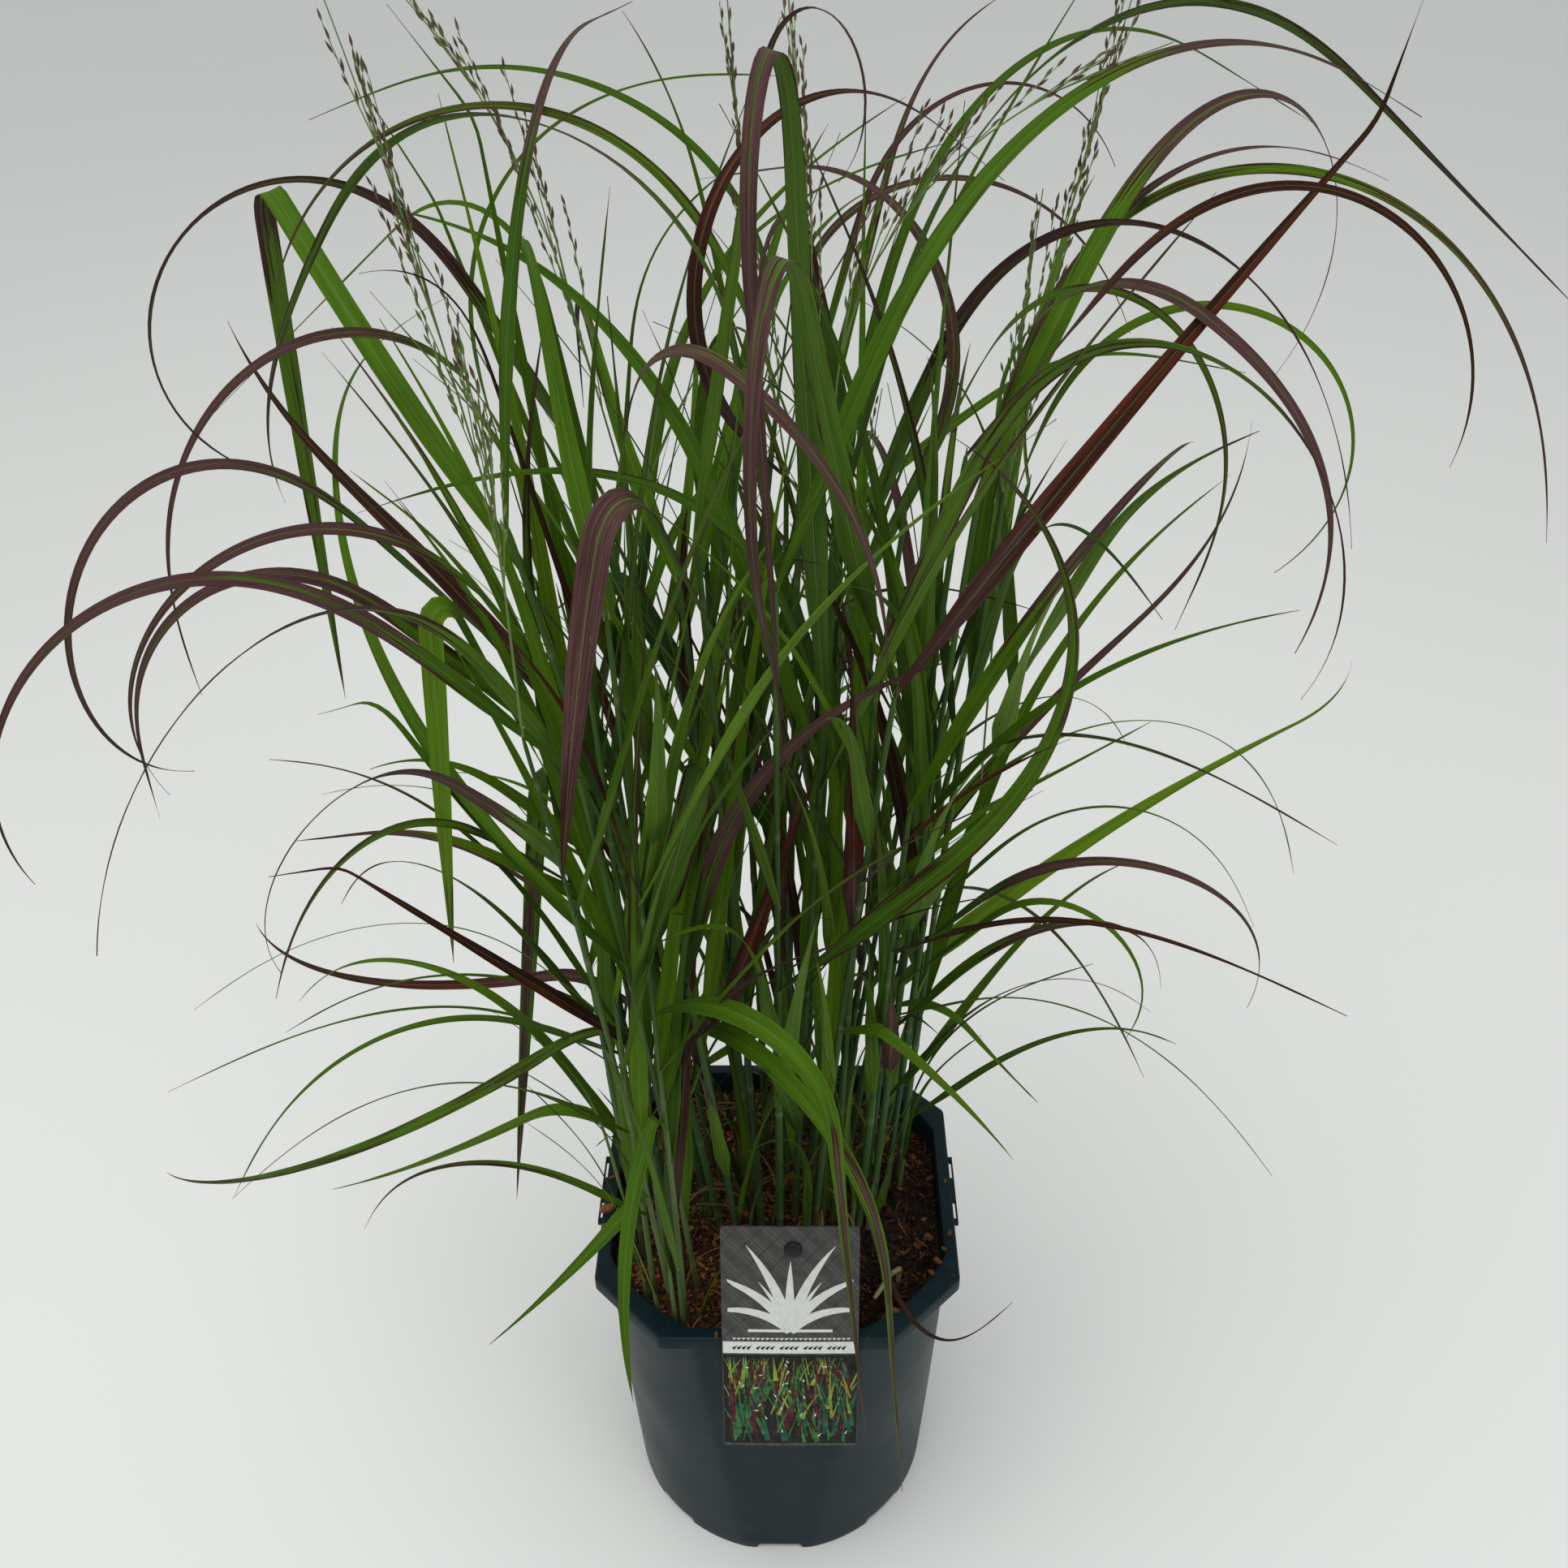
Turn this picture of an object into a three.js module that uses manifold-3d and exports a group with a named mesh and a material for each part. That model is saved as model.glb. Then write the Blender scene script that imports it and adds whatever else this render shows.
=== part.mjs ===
// A clump of switchgrass growing in an octagonal nursery pot, with its plant label on a stake.
// Millimetres, +Z up, the front of the pot toward -Y, the origin at the middle of the pot's foot.
import * as THREE from "three";
import { mergeVertices } from "three/addons/utils/BufferGeometryUtils.js";
import Module from "manifold-3d";

const wasm = await Module();
wasm.setup();

// ---- driving dimensions ----

const potHeight = 213.5;
const potWall = 2;
const lipHalf = 95; // half the width across the flats of the lip
const lipCorner = 36.5; // how much of each square corner the octagon cuts off
const lipThickness = 2;
const skirtDepth = 8.5;
const skirtWall = 1.5;
const flatHalfFoot = 84.5; // half the width across the flats of the body, at the foot
const flatHalfTop = 90;
const cornerFoot = 91.5; // from the middle to each corner face of the body, at the foot
const cornerTop = 102;
const coneFoot = 86.2; // radius of the round, lower part of the body
const coneSlope = 0.065;
const coneSides = 36;
const innerSides = 24;
const channelSides = 20;
const floorTop = 6;
const footStep = 3.5; // the foot ring stands this far below the drained channel
const channelInner = 62;
const channelOuter = 78;
const notchWidth = 26;
const drainHoles = 8;
const drainRadius = 4.5;
const ledgeReach = 97.4; // carrying ledges at the left and right of the lip
const ledgeFront = -20;
const ledgeBack = 26;
const ledgeThickness = 2.5;
const slotWidth = 2;
const slotLength = 12;

const soilLevel = 198.5;
const soilRelief = 2.6;
const soilCells = 9;
const fit = 0.35; // gap left round whatever stands in or against another piece
const clearance = 0.45; // least distance between two stems' leaves

const cardWidth = 68;
const cardHeight = 131;
const cardThickness = 0.9;
const cardMiddleX = 7;
const cardTopZ = 279.5;
const cardTopY = -78.5;
const cardLean = 16.2; // degrees from upright, top toward the plant
const pinBelowTop = 12.5;
const pinX = 8.5;
const pinRadius = 2;
const pinHeadRadius = 4.5;
const pinHeadThickness = 2;
const stakeWidth = 6;
const stakeThickness = 2.4;
const stakeFootZ = 169.5;
const stakeTopZ = 272;
const stakeY = -78.4;

const stemSides = 4;
const stemRadius = 2.5;
const frontTuftRadius = 2.1;
const stemTipRadius = 1.3;
const stemRootDepth = 35;
const stemSpans = 3;
const leanPerDistance = 0.2; // degrees of outward lean for each mm from the middle of the clump
const mostLean = 11;
const uprightShare = 0.3;
const frontTuftLean = 6;
const frontTuftStems = 5;
const bladeThickness = 0.75;
const fewestSpans = 3;
const bendPerSpan = 85; // degrees of bend that each further span of a blade takes
const tipWidth = 0.9;
const widestPart = 0.2; // share of its length where a blade starts to narrow
const archedTaper = 0.8;
const foldedTaper = 2.2;
const sharpestBend = 0.165; // a blade that turns this fast, and by more than the fold angle, is folded
const foldAngle = 88;
const fewLeaves = 3; // a stem with fewer large leaves than this has a short leaf near the soil
const backRows = 15; // stems behind this line belong to the back of the clump
const curveSteps = 40;
const panicleAxis = 1.5;
const panicleTaper = 0.1;
const panicleSpans = 4;
const panicleBranches = 5;
// along a panicle branch: share of its length, and its radius there
const branchSpots = [[0, 0.5], [0.5, 0.45], [0.8, 0.95], [1, 0.4]];

const seed = 20241;

// ---- the stems and their large leaves ----

// A stem stands at x, y on the soil. Each of its large leaves is one row: height above the soil,
// compass direction (0 right, 90 back), length, lean from upright at the base and at the tip,
// the part of the length over which it bends (from, to), turn of the direction along the blade,
// width, and twist of the face.
const stemAt = (x, y, ...leaves) => ({ x, y, leaves, share: 1 });

// A stem that leans out less than the others do.
const uprightAt = (x, y, ...leaves) => ({ x, y, leaves, share: uprightShare });

const stems = [
  uprightAt(-47, -72,
    [420, 112, 270, 40, 105, 0.32, 0.69, -15, 8, 15],
    [145, -140, 160, 20, 155, 0.07, 0.12, 70, 10, 20]
  ),
  stemAt(-54, -67,
    [295, 146, 440, 65, 90, 0.5, 0.85, -80, 6.5, -20],
    [100, -134, 100, 65, 115, 0.04, 0.09, -15, 9, -5]
  ),
  uprightAt(-57, -57,
    [385, 10, 310, 15, 110, 0.33, 0.55, -110, 11, 25],
    [200, -40, 360, 45, 175, 0.05, 0.44, 40, 11, 40]
  ),
  stemAt(-42, -54,
    [355, -174, 300, 40, 235, 0.23, 1.29, 50, 10, -40],
    [250, 168, 200, 45, 120, 0.66, 0.83, -30, 8, -5]
  ),
  uprightAt(-64, -60),
  uprightAt(-81, 4),
  uprightAt(-70, 8,
    [380, 136, 520, 55, 175, 0.42, 0.47, -15, 11, -10],
    [30, 176, 290, 35, 130, 0.05, 0.3, -30, 8, -30],
    [20, 168, 280, 30, 145, 0.25, 1.05, -5, 9, -15]
  ),
  uprightAt(-72, -30,
    [265, -88, 280, 40, 255, 0.5, 1.25, -50, 9, 45],
    [260, -146, 190, 40, 155, 0.23, 1.1, 30, 6.5, -40]
  ),
  uprightAt(-58, -22,
    [365, -130, 270, 35, 255, 0.18, 1.37, -20, 9, -40]
  ),
  uprightAt(-52, 6,
    [295, 164, 300, 45, 70, 0.14, 0.65, -45, 12.5, -10],
    [280, -170, 320, 40, 180, 0.39, 0.95, 30, 12.5, -40]
  ),
  stemAt(-30, -20,
    [445, 82, 370, 15, 95, -0.05, 0.75, 5, 5.5, 5],
    [240, -174, 160, 55, 100, 0.38, 0.87, -10, 8, -25],
    [217, -49, 177, 20, 165, 0.76, 0.86, -4, 13, -48],
    [135, -136, 300, 35, 65, 0.87, 0.93, 10, 11, -50]
  ),
  stemAt(-20, -31,
    [219, 9, 212, 9, 93, 0.07, 1.25, 1, 13, 60],
    [184, 18, 158, 44, 19, 0.11, 0.16, -4, 11, 62]
  ),
  stemAt(-9, -14,
    [430, -52, 270, 15, 235, 0.6, 1.05, 0, 6.5, -15],
    [425, -178, 580, -30, 135, -0.05, 0.55, -80, 7, 30]
  ),
  stemAt(1, -22,
    [420, 26, 380, 25, 115, 0.15, 0.95, 5, 10, 30],
    [198, -23, 347, 39, -79, 0.29, 1.25, 34, 13, 70]
  ),
  stemAt(-38, -4,
    [345, -160, 360, 35, 240, 0.27, 1.05, 60, 8, -40],
    [250, 168, 120, 50, 115, 0.41, 1.1, 15, 9, -25],
    [235, -136, 360, 20, 175, 0.5, 0.55, 0, 10, -35],
    [130, -162, 450, 40, 125, 0, 0.15, -70, 9, -30],
    [125, -56, 400, 20, 175, -0.07, 0.64, 35, 11, 15]
  ),
  stemAt(-42, 18,
    [75, 22, 160, 65, 125, 0.06, 0.88, 5, 5.5, 20]
  ),
  stemAt(-27, 7,
    [210, -113.5, 450, 31, 181, 0.45, 1.15, -10, 11, 40]
  ),
  stemAt(-14, 3,
    [385, 122, 220, 50, 185, 0.46, 0.97, -25, 9, 15]
  ),
  stemAt(-31, 32,
    [330, 28, 220, 10, 65, 0.55, 1, 0, 3.5, 50],
    [305, 156, 270, 20, 35, 0.8, 0.85, 0, 6.5, -30],
    [290, 68, 240, 75, 35, 0.2, 0.25, 25, 10, -15],
    [165, -126, 410, 15, 95, 0.8, 1.05, 0, 6.5, 30]
  ),
  stemAt(-18, 21),
  stemAt(-46, 38,
    [370, 10, 290, -10, 95, 0.15, 1, 0, 4, 50],
    [365, -140, 340, 0, 185, -0.05, 1, 0, 8, -40],
    [275, 176, 160, 35, 60, 0.49, 0.93, -20, 5.5, -25],
    [215, -178, 390, 5, 35, 0.85, 0.9, 0, 10, -50],
    [90, -178, 390, 50, 110, 0.1, 0.2, -65, 9, -20],
    [80, 148, 590, 10, 170, 0.23, 0.39, 0, 12, 30]
  ),
  stemAt(-7, 38,
    [400, -168, 360, -70, 110, -0.35, 0.9, -50, 6, -45]
  ),
  stemAt(9, -7,
    [425, 26, 540, 15, 125, 0.1, 0.65, 0, 8, -50],
    [335, -102, 600, 15, 195, 0.4, 0.65, 5, 10.5, -15]
  ),
  stemAt(19, -16,
    [360, 12, 300, 35, 10, 0.85, 0.9, -20, 13, 45],
    [160, -14, 110, 70, 125, 0.16, 0.21, -25, 8, 15]
  ),
  uprightAt(30, -9,
    [360, -52, 360, 25, 245, 0.26, 1.28, 5, 9.5, -50],
    [240, -160, 400, 25, 160, 0.58, 0.7, 55, 12.5, -20],
    [225, 10, 160, 50, 65, 0.44, 0.5, 5, 5.5, 25]
  ),
  stemAt(4, 12,
    [415, 44, 320, -45, 125, 0.04, 0.91, -5, 9, 25],
    [225, 140, 230, 40, 130, 0.62, 0.77, 5, 13, -10]
  ),
  stemAt(17, 7,
    [355, -102, 500, 40, 215, 0.49, 0.86, 5, 12.5, -10]
  ),
  stemAt(29, 13),
  stemAt(10, 27,
    [395, 32, 410, 15, 115, 0.15, 0.8, 5, 5.5, 40],
    [375, -160, 370, 20, 190, 0.25, 1.25, 0, 9, -50],
    [265, 138, 340, 15, 55, 0.7, 1.1, 0, 8, -15],
    [55, -150, 260, 10, 180, 0.4, 1.15, 0, 5.5, 50]
  ),
  stemAt(22, 31,
    [380, -44, 330, 25, 195, 0.2, 0.95, -5, 6.5, 45],
    [135, 50, 370, 55, -10, 0.6, 1.1, -40, 10, 15]
  ),
  stemAt(37, 26,
    [360, -22, 320, 15, 235, 0.15, 1.15, -5, 6.5, 50],
    [120, 38, 330, 70, -20, 0.84, 1.06, -25, 13, 15]
  ),
  stemAt(2, 50,
    [375, 2, 280, 15, 170, 0.4, 1.15, 0, 6.5, 50],
    [330, 44, 300, 20, 75, 0.6, 1, 0, 9, 15]
  ),
  uprightAt(44, -13,
    [285, 26, 290, 30, 120, -0.05, 1.2, 45, 10, 5],
    [35, -86, 310, 75, 25, -0.05, 1, 15, 3.5, 40]
  ),
  uprightAt(52, 2,
    [425, 58, 410, 45, 255, 0.22, 1.26, -35, 10, 40],
    [165, -36, 210, 35, 200, 0.33, 1.04, 5, 6.5, 35],
    [135, -12, 200, 35, 175, 0.14, 1.11, 40, 8, 20]
  ),
  uprightAt(61, 16),
  stemAt(46, 41,
    [385, -24, 400, -25, 170, -0.19, 1.09, -15, 8, 50]
  ),
  stemAt(55, 31),
  uprightAt(67, 22,
    [415, -12, 350, -15, 100, -0.02, 0.49, -110, 9, 25],
    [325, 60, 390, -10, 115, -0.07, 1.06, -35, 9, 15]
  ),
  uprightAt(49, 13,
    [435, -42, 300, 35, 230, 0.28, 1.28, 0, 8, 50],
    [245, -4, 210, 30, 85, -0.05, 1.25, 5, 7, 30],
    [165, -54, 280, 35, 235, 0.26, 1.3, 60, 9, 30],
    [135, -24, 110, 40, 140, -0.04, 0.5, 20, 5.5, 30]
  ),
  uprightAt(-22, 56,
    [380, -66, 160, 5, 105, 0.15, 1.16, -5, 10, 0]
  ),
  stemAt(14, 60,
    [380, -110, 230, 25, 180, 0.52, 0.94, -5, 9, 0],
    [380, -10, 300, -70, 160, -0.28, 1.1, 15, 6.5, 50],
    [350, 34, 230, 60, 100, 0.38, 0.84, -40, 6.5, 40],
    [305, -34, 440, 20, 170, 0.25, 1.1, -20, 10, -50],
    [290, 142, 380, -25, 105, 0.29, 0.87, -10, 11, -25]
  ),
  stemAt(34, 56),
  stemAt(-37, 60,
    [365, -122, 400, 30, 285, 0.31, 1.23, -30, 8.5, 50],
    [285, 162, 440, 10, 130, 0.4, 0.65, 0, 5.5, -35]
  ),
];

// Flowering panicles: stem number, height where the panicle leaves its stem, direction, length,
// lean at the base and tip, and the part of the length that bends.
const panicles = [
  [14, 325, 168, 300, 10, 15, 0.5, 1],
  [19, 310, 152, 330, 15, 50, 0.5, 1],
  [28, 295, 126, 320, 15, 5, 0.5, 1],
  [22, 330, 98, 320, 10, 40, 0.1, 1],
  [26, 355, 16, 300, -15, 75, 0.1, 1],
  [30, 250, 24, 370, 10, 15, 0.5, 1],
  [36, 230, 28, 300, 0, 5, 0.5, 1],
  [40, 105, 34, 330, 5, 10, 0.5, 1],
  [1, 385, 180, 150, 0, 10, 0.5, 1],
];

// Bent dry stalks left from last year and a cut stub: points along each, then its radius.
const dryStalks = [
  { points: [[63, -48, 179], [64, -49, 209], [59, -58, 217], [50, -68, 210]], radius: 1.6 },
  { points: [[23.5, 4, 179], [23.7, 3.4, 203], [24.2, 2.4, 217]], radius: 2.2 },
];

const colours = {
  pot: 0x39434b,
  soil: 0x2e211b,
  card: 0x4b4f52,
  stake: 0x17181a,
  stem: 0x5f8a4a,
  dry: 0xb39a6b,
};

// ---- helpers ----

const radians = THREE.MathUtils.degToRad;
const vector = (x, y, z) => new THREE.Vector3(x, y, z);

// Smooth step from 0 to 1 between two values.
function ease(value, from, to) {
  const t = Math.min(Math.max((value - from) / Math.max(to - from, 0.02), 0), 1);
  return t * t * (3 - 2 * t);
}

// A repeatable sequence of numbers from 0 to 1.
function sequence(start) {
  let state = start;
  return () => {
    state = (state * 16807) % 2147483647;
    return state / 2147483647;
  };
}

// The closed solid inside a geometry.
function solid(geometry) {
  const bare = geometry.clone();
  bare.deleteAttribute("normal");
  bare.deleteAttribute("uv");
  const merged = mergeVertices(bare, 1e-4);
  return new wasm.Manifold(
    new wasm.Mesh({
      numProp: 3,
      vertProperties: new Float32Array(merged.attributes.position.array),
      triVerts: new Uint32Array(merged.index.array),
    }),
  );
}

// The geometry of a solid, as a mesh of one colour.
function meshOf(name, body, color, roughness) {
  const data = body.getMesh();
  const geometry = new THREE.BufferGeometry();
  geometry.setAttribute("position", new THREE.BufferAttribute(data.vertProperties, 3));
  geometry.setIndex(new THREE.BufferAttribute(data.triVerts, 1));
  geometry.computeVertexNormals();
  const material = new THREE.MeshStandardMaterial({ color, roughness, metalness: 0 });
  const mesh = new THREE.Mesh(geometry, material);
  mesh.name = name;
  return mesh;
}

// Joins a row of closed loops of points into one closed skin. The two long faces of a blade
// are split along the same diagonal, so it keeps its thickness where it waves.
function loft(loops) {
  const count = loops[0].length;
  const positions = loops.flat().flatMap((p) => [p.x, p.y, p.z]);
  const index = [];
  for (let i = 0; i + 1 < loops.length; i++) {
    for (let k = 0; k < count; k++) {
      const a = i * count + k;
      const b = i * count + ((k + 1) % count);
      const c = a + count;
      const d = b + count;
      if (k < count / 2) index.push(a, b, d, a, d, c);
      else index.push(a, b, c, b, d, c);
    }
  }
  const last = (loops.length - 1) * count;
  for (let k = 1; k + 1 < count; k++) {
    index.push(0, k + 1, k);
    index.push(last, last + k, last + k + 1);
  }
  const geometry = new THREE.BufferGeometry();
  geometry.setAttribute("position", new THREE.Float32BufferAttribute(positions, 3));
  geometry.setIndex(index);
  return geometry;
}

// A round stalk through points, with as many sides as asked.
function stalk(points, radii, sides) {
  const loops = points.map((point, i) => {
    const before = points[Math.max(i - 1, 0)];
    const after = points[Math.min(i + 1, points.length - 1)];
    const along = after.clone().sub(before).normalize();
    const right = vector(0, 1, 0).cross(along).normalize();
    const front = along.clone().cross(right);
    return Array.from({ length: sides }, (_, k) => {
      const angle = (k / sides) * 2 * Math.PI;
      return point
        .clone()
        .addScaledVector(right, Math.cos(angle) * radii[i])
        .addScaledVector(front, Math.sin(angle) * radii[i]);
    });
  });
  return loft(loops);
}

// ---- pot ----

// The corners of an octagon, from half its width across the flats and the distance from its
// middle to each corner face.
function octagonCorners(half, cornerDistance) {
  const near = cornerDistance * Math.SQRT2 - half;
  return [
    [half, -near], [half, near], [near, half], [-near, half],
    [-half, near], [-half, -near], [-near, -half], [near, -half],
  ];
}

// An upright octagonal block from one height to another.
function block(half, cornerDistance, from, to) {
  return taperedBlock([half, cornerDistance, from], [half, cornerDistance, to]);
}

function taperedBlock(...ends) {
  const loops = ends.map(([half, cornerDistance, z]) =>
    octagonCorners(half, cornerDistance).map(([x, y]) => vector(x, y, z)),
  );
  return solid(loft(loops));
}

function cone(radiusFrom, radiusTo, from, to, sides) {
  const profile = [
    new THREE.Vector2(0, from),
    new THREE.Vector2(radiusFrom, from),
    new THREE.Vector2(radiusTo, to),
    new THREE.Vector2(0, to),
  ];
  const geometry = new THREE.LatheGeometry(profile, sides);
  geometry.rotateX(Math.PI / 2);
  return solid(geometry);
}

function cylinder(radius, from, to, sides, x = 0, y = 0) {
  const geometry = new THREE.CylinderGeometry(radius, radius, to - from, sides);
  geometry.rotateX(Math.PI / 2);
  geometry.translate(x, y, (from + to) / 2);
  return solid(geometry);
}

function box(x0, x1, y0, y1, z0, z1) {
  const geometry = new THREE.BoxGeometry(x1 - x0, y1 - y0, z1 - z0);
  geometry.translate((x0 + x1) / 2, (y0 + y1) / 2, (z0 + z1) / 2);
  return solid(geometry);
}

// The body is a round cone planed flat on eight sides; inset moves every face inward.
function potForm(inset, from, to, sides) {
  const planed = taperedBlock(
    [flatHalfFoot - inset, cornerFoot - inset, 0],
    [flatHalfTop - inset, cornerTop - inset, potHeight],
  );
  const foot = coneFoot - inset;
  const round = cone(foot + coneSlope * from, foot + coneSlope * to, from, to, sides);
  return planed.intersect(round);
}

function makePot() {
  const lipDistance = (2 * lipHalf - lipCorner) / Math.SQRT2;
  let pot = potForm(0, 0, potHeight - 0.5, coneSides);
  const lip = block(lipHalf, lipDistance, potHeight - skirtDepth, potHeight);
  const under = block(
    lipHalf - skirtWall,
    lipDistance - skirtWall,
    potHeight - skirtDepth - 1,
    potHeight - lipThickness,
  );
  pot = pot.add(lip.subtract(under));
  for (const side of [-1, 1]) {
    const from = Math.min(side * (lipHalf - 1), side * ledgeReach);
    const to = Math.max(side * (lipHalf - 1), side * ledgeReach);
    const top = potHeight - 3;
    pot = pot.add(box(from, to, ledgeFront, ledgeBack, top - ledgeThickness, top));
    const slotMiddle = side * (ledgeReach - slotWidth / 2 - 0.8);
    for (const y of [ledgeFront + 3, ledgeBack - 3 - slotLength]) {
      pot = pot.subtract(
        box(
          slotMiddle - slotWidth / 2,
          slotMiddle + slotWidth / 2,
          y,
          y + slotLength,
          top - ledgeThickness - 1,
          top + 1,
        ),
      );
    }
  }
  pot = pot.subtract(potForm(potWall, floorTop, potHeight + 2, innerSides));
  const channel = cylinder(channelOuter, -1, footStep, channelSides)
    .subtract(cylinder(channelInner, -2, footStep + 1, channelSides));
  pot = pot.subtract(channel);
  for (let k = 0; k < drainHoles; k++) {
    const turned = new THREE.BoxGeometry(notchWidth, 30, 2 * footStep);
    turned.translate(0, -(channelOuter + 12), 0);
    turned.rotateZ((k / drainHoles) * 2 * Math.PI);
    pot = pot.subtract(solid(turned));
    const angle = ((k + 0.5) / drainHoles) * 2 * Math.PI;
    const radius = (channelInner + channelOuter) / 2;
    pot = pot.subtract(
      cylinder(drainRadius, -1, floorTop + 1, 6, radius * Math.cos(angle), radius * Math.sin(angle)),
    );
  }
  return pot;
}

// ---- stems ----

function stemDirection(number) {
  const { x, y, share } = stems[number];
  const most = number < frontTuftStems ? frontTuftLean : mostLean;
  const lean = share * Math.min(leanPerDistance * Math.hypot(x, y), most);
  return { angle: Math.atan2(y, x), slope: Math.tan(radians(lean)) };
}

// The point of a stem at a height above the soil; it leans out a little more as it rises.
function stemPoint(number, height) {
  const { x, y } = stems[number];
  const { angle, slope } = stemDirection(number);
  const out = height * slope * (1 + (0.4 * height) / 500);
  return vector(x + out * Math.cos(angle), y + out * Math.sin(angle), soilLevel + height);
}

function stemStalk(number, top, extra = 0) {
  const heights = [-stemRootDepth - extra];
  for (let i = 0; i <= stemSpans - 1; i++) heights.push((top * (i + 0.3)) / (stemSpans - 0.7));
  const points = heights.map((height) => stemPoint(number, height));
  const foot = number < frontTuftStems ? frontTuftRadius : stemRadius;
  const radii = heights.map((height) => {
    const grown = Math.max(height, 0) / Math.max(top, 300);
    return foot + (stemTipRadius - foot) * grown + extra;
  });
  return solid(stalk(points, radii, stemSides));
}

// ---- leaves ----

// Points and directions along the middle line of a leaf or panicle.
function middleLine(start, row) {
  const [, azimuth, length, lean0, lean1, from, to, turn] = row;
  const points = [start.clone()];
  const directions = [];
  const angles = [];
  for (let i = 0; i <= curveSteps; i++) {
    const u = i / curveSteps;
    const lean = radians(lean0 + (lean1 - lean0) * ease(u, from, to));
    const heading = radians(azimuth + turn * u);
    angles.push({ lean, heading });
    directions.push(
      vector(
        Math.sin(lean) * Math.cos(heading),
        Math.sin(lean) * Math.sin(heading),
        Math.cos(lean),
      ),
    );
    if (i > 0) {
      const step = directions[i - 1].clone().add(directions[i]).multiplyScalar(0.5 * length / curveSteps);
      points.push(points[i - 1].clone().add(step));
    }
  }
  return { points, directions, angles };
}

// Stations along the line, closer together where it bends.
function stations(line, spans) {
  const bends = [0];
  for (let i = 1; i <= curveSteps; i++) {
    bends.push(bends[i - 1] + line.directions[i].angleTo(line.directions[i - 1]));
  }
  const total = Math.max(bends[curveSteps], 1e-6);
  const measure = bends.map((bend, i) => 0.5 * (i / curveSteps) + 0.5 * (bend / total));
  const picked = [0];
  for (let k = 1; k < spans; k++) {
    let i = picked[k - 1] + 1;
    while (measure[i] < k / spans && i < curveSteps - (spans - k)) i++;
    picked.push(i);
  }
  picked.push(curveSteps);
  return picked;
}

// How wide a blade is along its length: it clasps the stem, broadens, then tapers to a long fine
// tip. A blade that folds over sharply stays broad to the fold.
function bladeProfile(u, [, , , lean0, lean1, from, to]) {
  const folded = to - from < sharpestBend && Math.abs(lean1 - lean0) > foldAngle;
  const widest = folded ? from : widestPart;
  const power = folded ? foldedTaper : archedTaper;
  const opening = Math.min(0.35 + 4 * u, 1);
  return opening * (1 - Math.pow(Math.max((u - widest) / (1 - widest), 0), power));
}

function bladeSpansFor([, , , lean0, lean1, , , turn]) {
  return fewestSpans + Math.round((Math.abs(lean1 - lean0) + Math.abs(turn)) / bendPerSpan);
}

function blade(start, row, spans) {
  const width = row[8];
  const twist = row[9];
  const line = middleLine(start, row);
  const loops = stations(line, spans).map((i) => {
    const u = i / curveSteps;
    const along = line.directions[i];
    const heading = line.angles[i].heading;
    const across = vector(-Math.sin(heading), Math.cos(heading), 0);
    const face = along.clone().cross(across);
    const roll = radians(twist * ease(u, 0, 0.5));
    const side = across.clone().multiplyScalar(Math.cos(roll)).addScaledVector(face, Math.sin(roll));
    const normal = along.clone().cross(side);
    const half = Math.max(width * bladeProfile(u, row), tipWidth) / 2;
    const thin = bladeThickness / 2;
    return [[1, 1], [-1, 1], [-1, -1], [1, -1]].map(([s, t]) =>
      line.points[i].clone().addScaledVector(side, s * half).addScaledVector(normal, t * thin),
    );
  });
  return solid(loft(loops));
}

// ---- panicles ----

// A narrow panicle: a thin axis with short branches held close to it. Each branch swells where
// its small spikelets sit.
function panicle(start, row, random) {
  const line = middleLine(start, row);
  const picked = stations(line, panicleSpans);
  const points = picked.map((i) => line.points[i]);
  const radii = points.map((_, k) => (panicleAxis - panicleTaper * k) / 2);
  let body = solid(stalk(points, radii, 3));
  for (let k = 0; k < panicleBranches; k++) {
    const at = Math.round(curveSteps * (0.4 + (0.5 * k) / panicleBranches));
    const along = line.directions[at];
    const side = vector(0, 1, 0).cross(along).normalize();
    const front = along.clone().cross(side);
    const turn = k * 2.4 + random();
    const spread = radians(3.5 + 4.5 * random());
    const out = side.multiplyScalar(Math.cos(turn)).addScaledVector(front, Math.sin(turn));
    const way = along.clone().multiplyScalar(Math.cos(spread)).addScaledVector(out, Math.sin(spread));
    const upper = along.clone().lerp(way, 0.6).normalize();
    const length = (1 - (0.6 * k) / panicleBranches) * (0.24 + 0.06 * random()) * row[2];
    const span = picked.findIndex((i) => i >= at);
    const share = (at - picked[span - 1]) / (picked[span] - picked[span - 1]);
    const from = points[span - 1].clone().lerp(points[span], share);
    const spots = branchSpots.map(([part]) => {
      const lower = Math.min(part, 0.5) * length;
      const rest = Math.max(part - 0.5, 0) * length;
      return from.clone().addScaledVector(way, lower).addScaledVector(upper, rest);
    });
    body = body.add(solid(stalk(spots, branchSpots.map(([, radius]) => radius), 3)));
  }
  return body;
}

// ---- soil, card and stake ----

function soilHeight(x, y) {
  const broad = Math.sin(x / 13 + 1) * Math.cos(y / 16 - 0.7);
  const fine = Math.sin(x / 4.1 + y / 5.3) * Math.cos(y / 3.7 - x / 6.1);
  return soilLevel + soilRelief * (0.6 * broad + 0.4 * fine);
}

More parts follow.
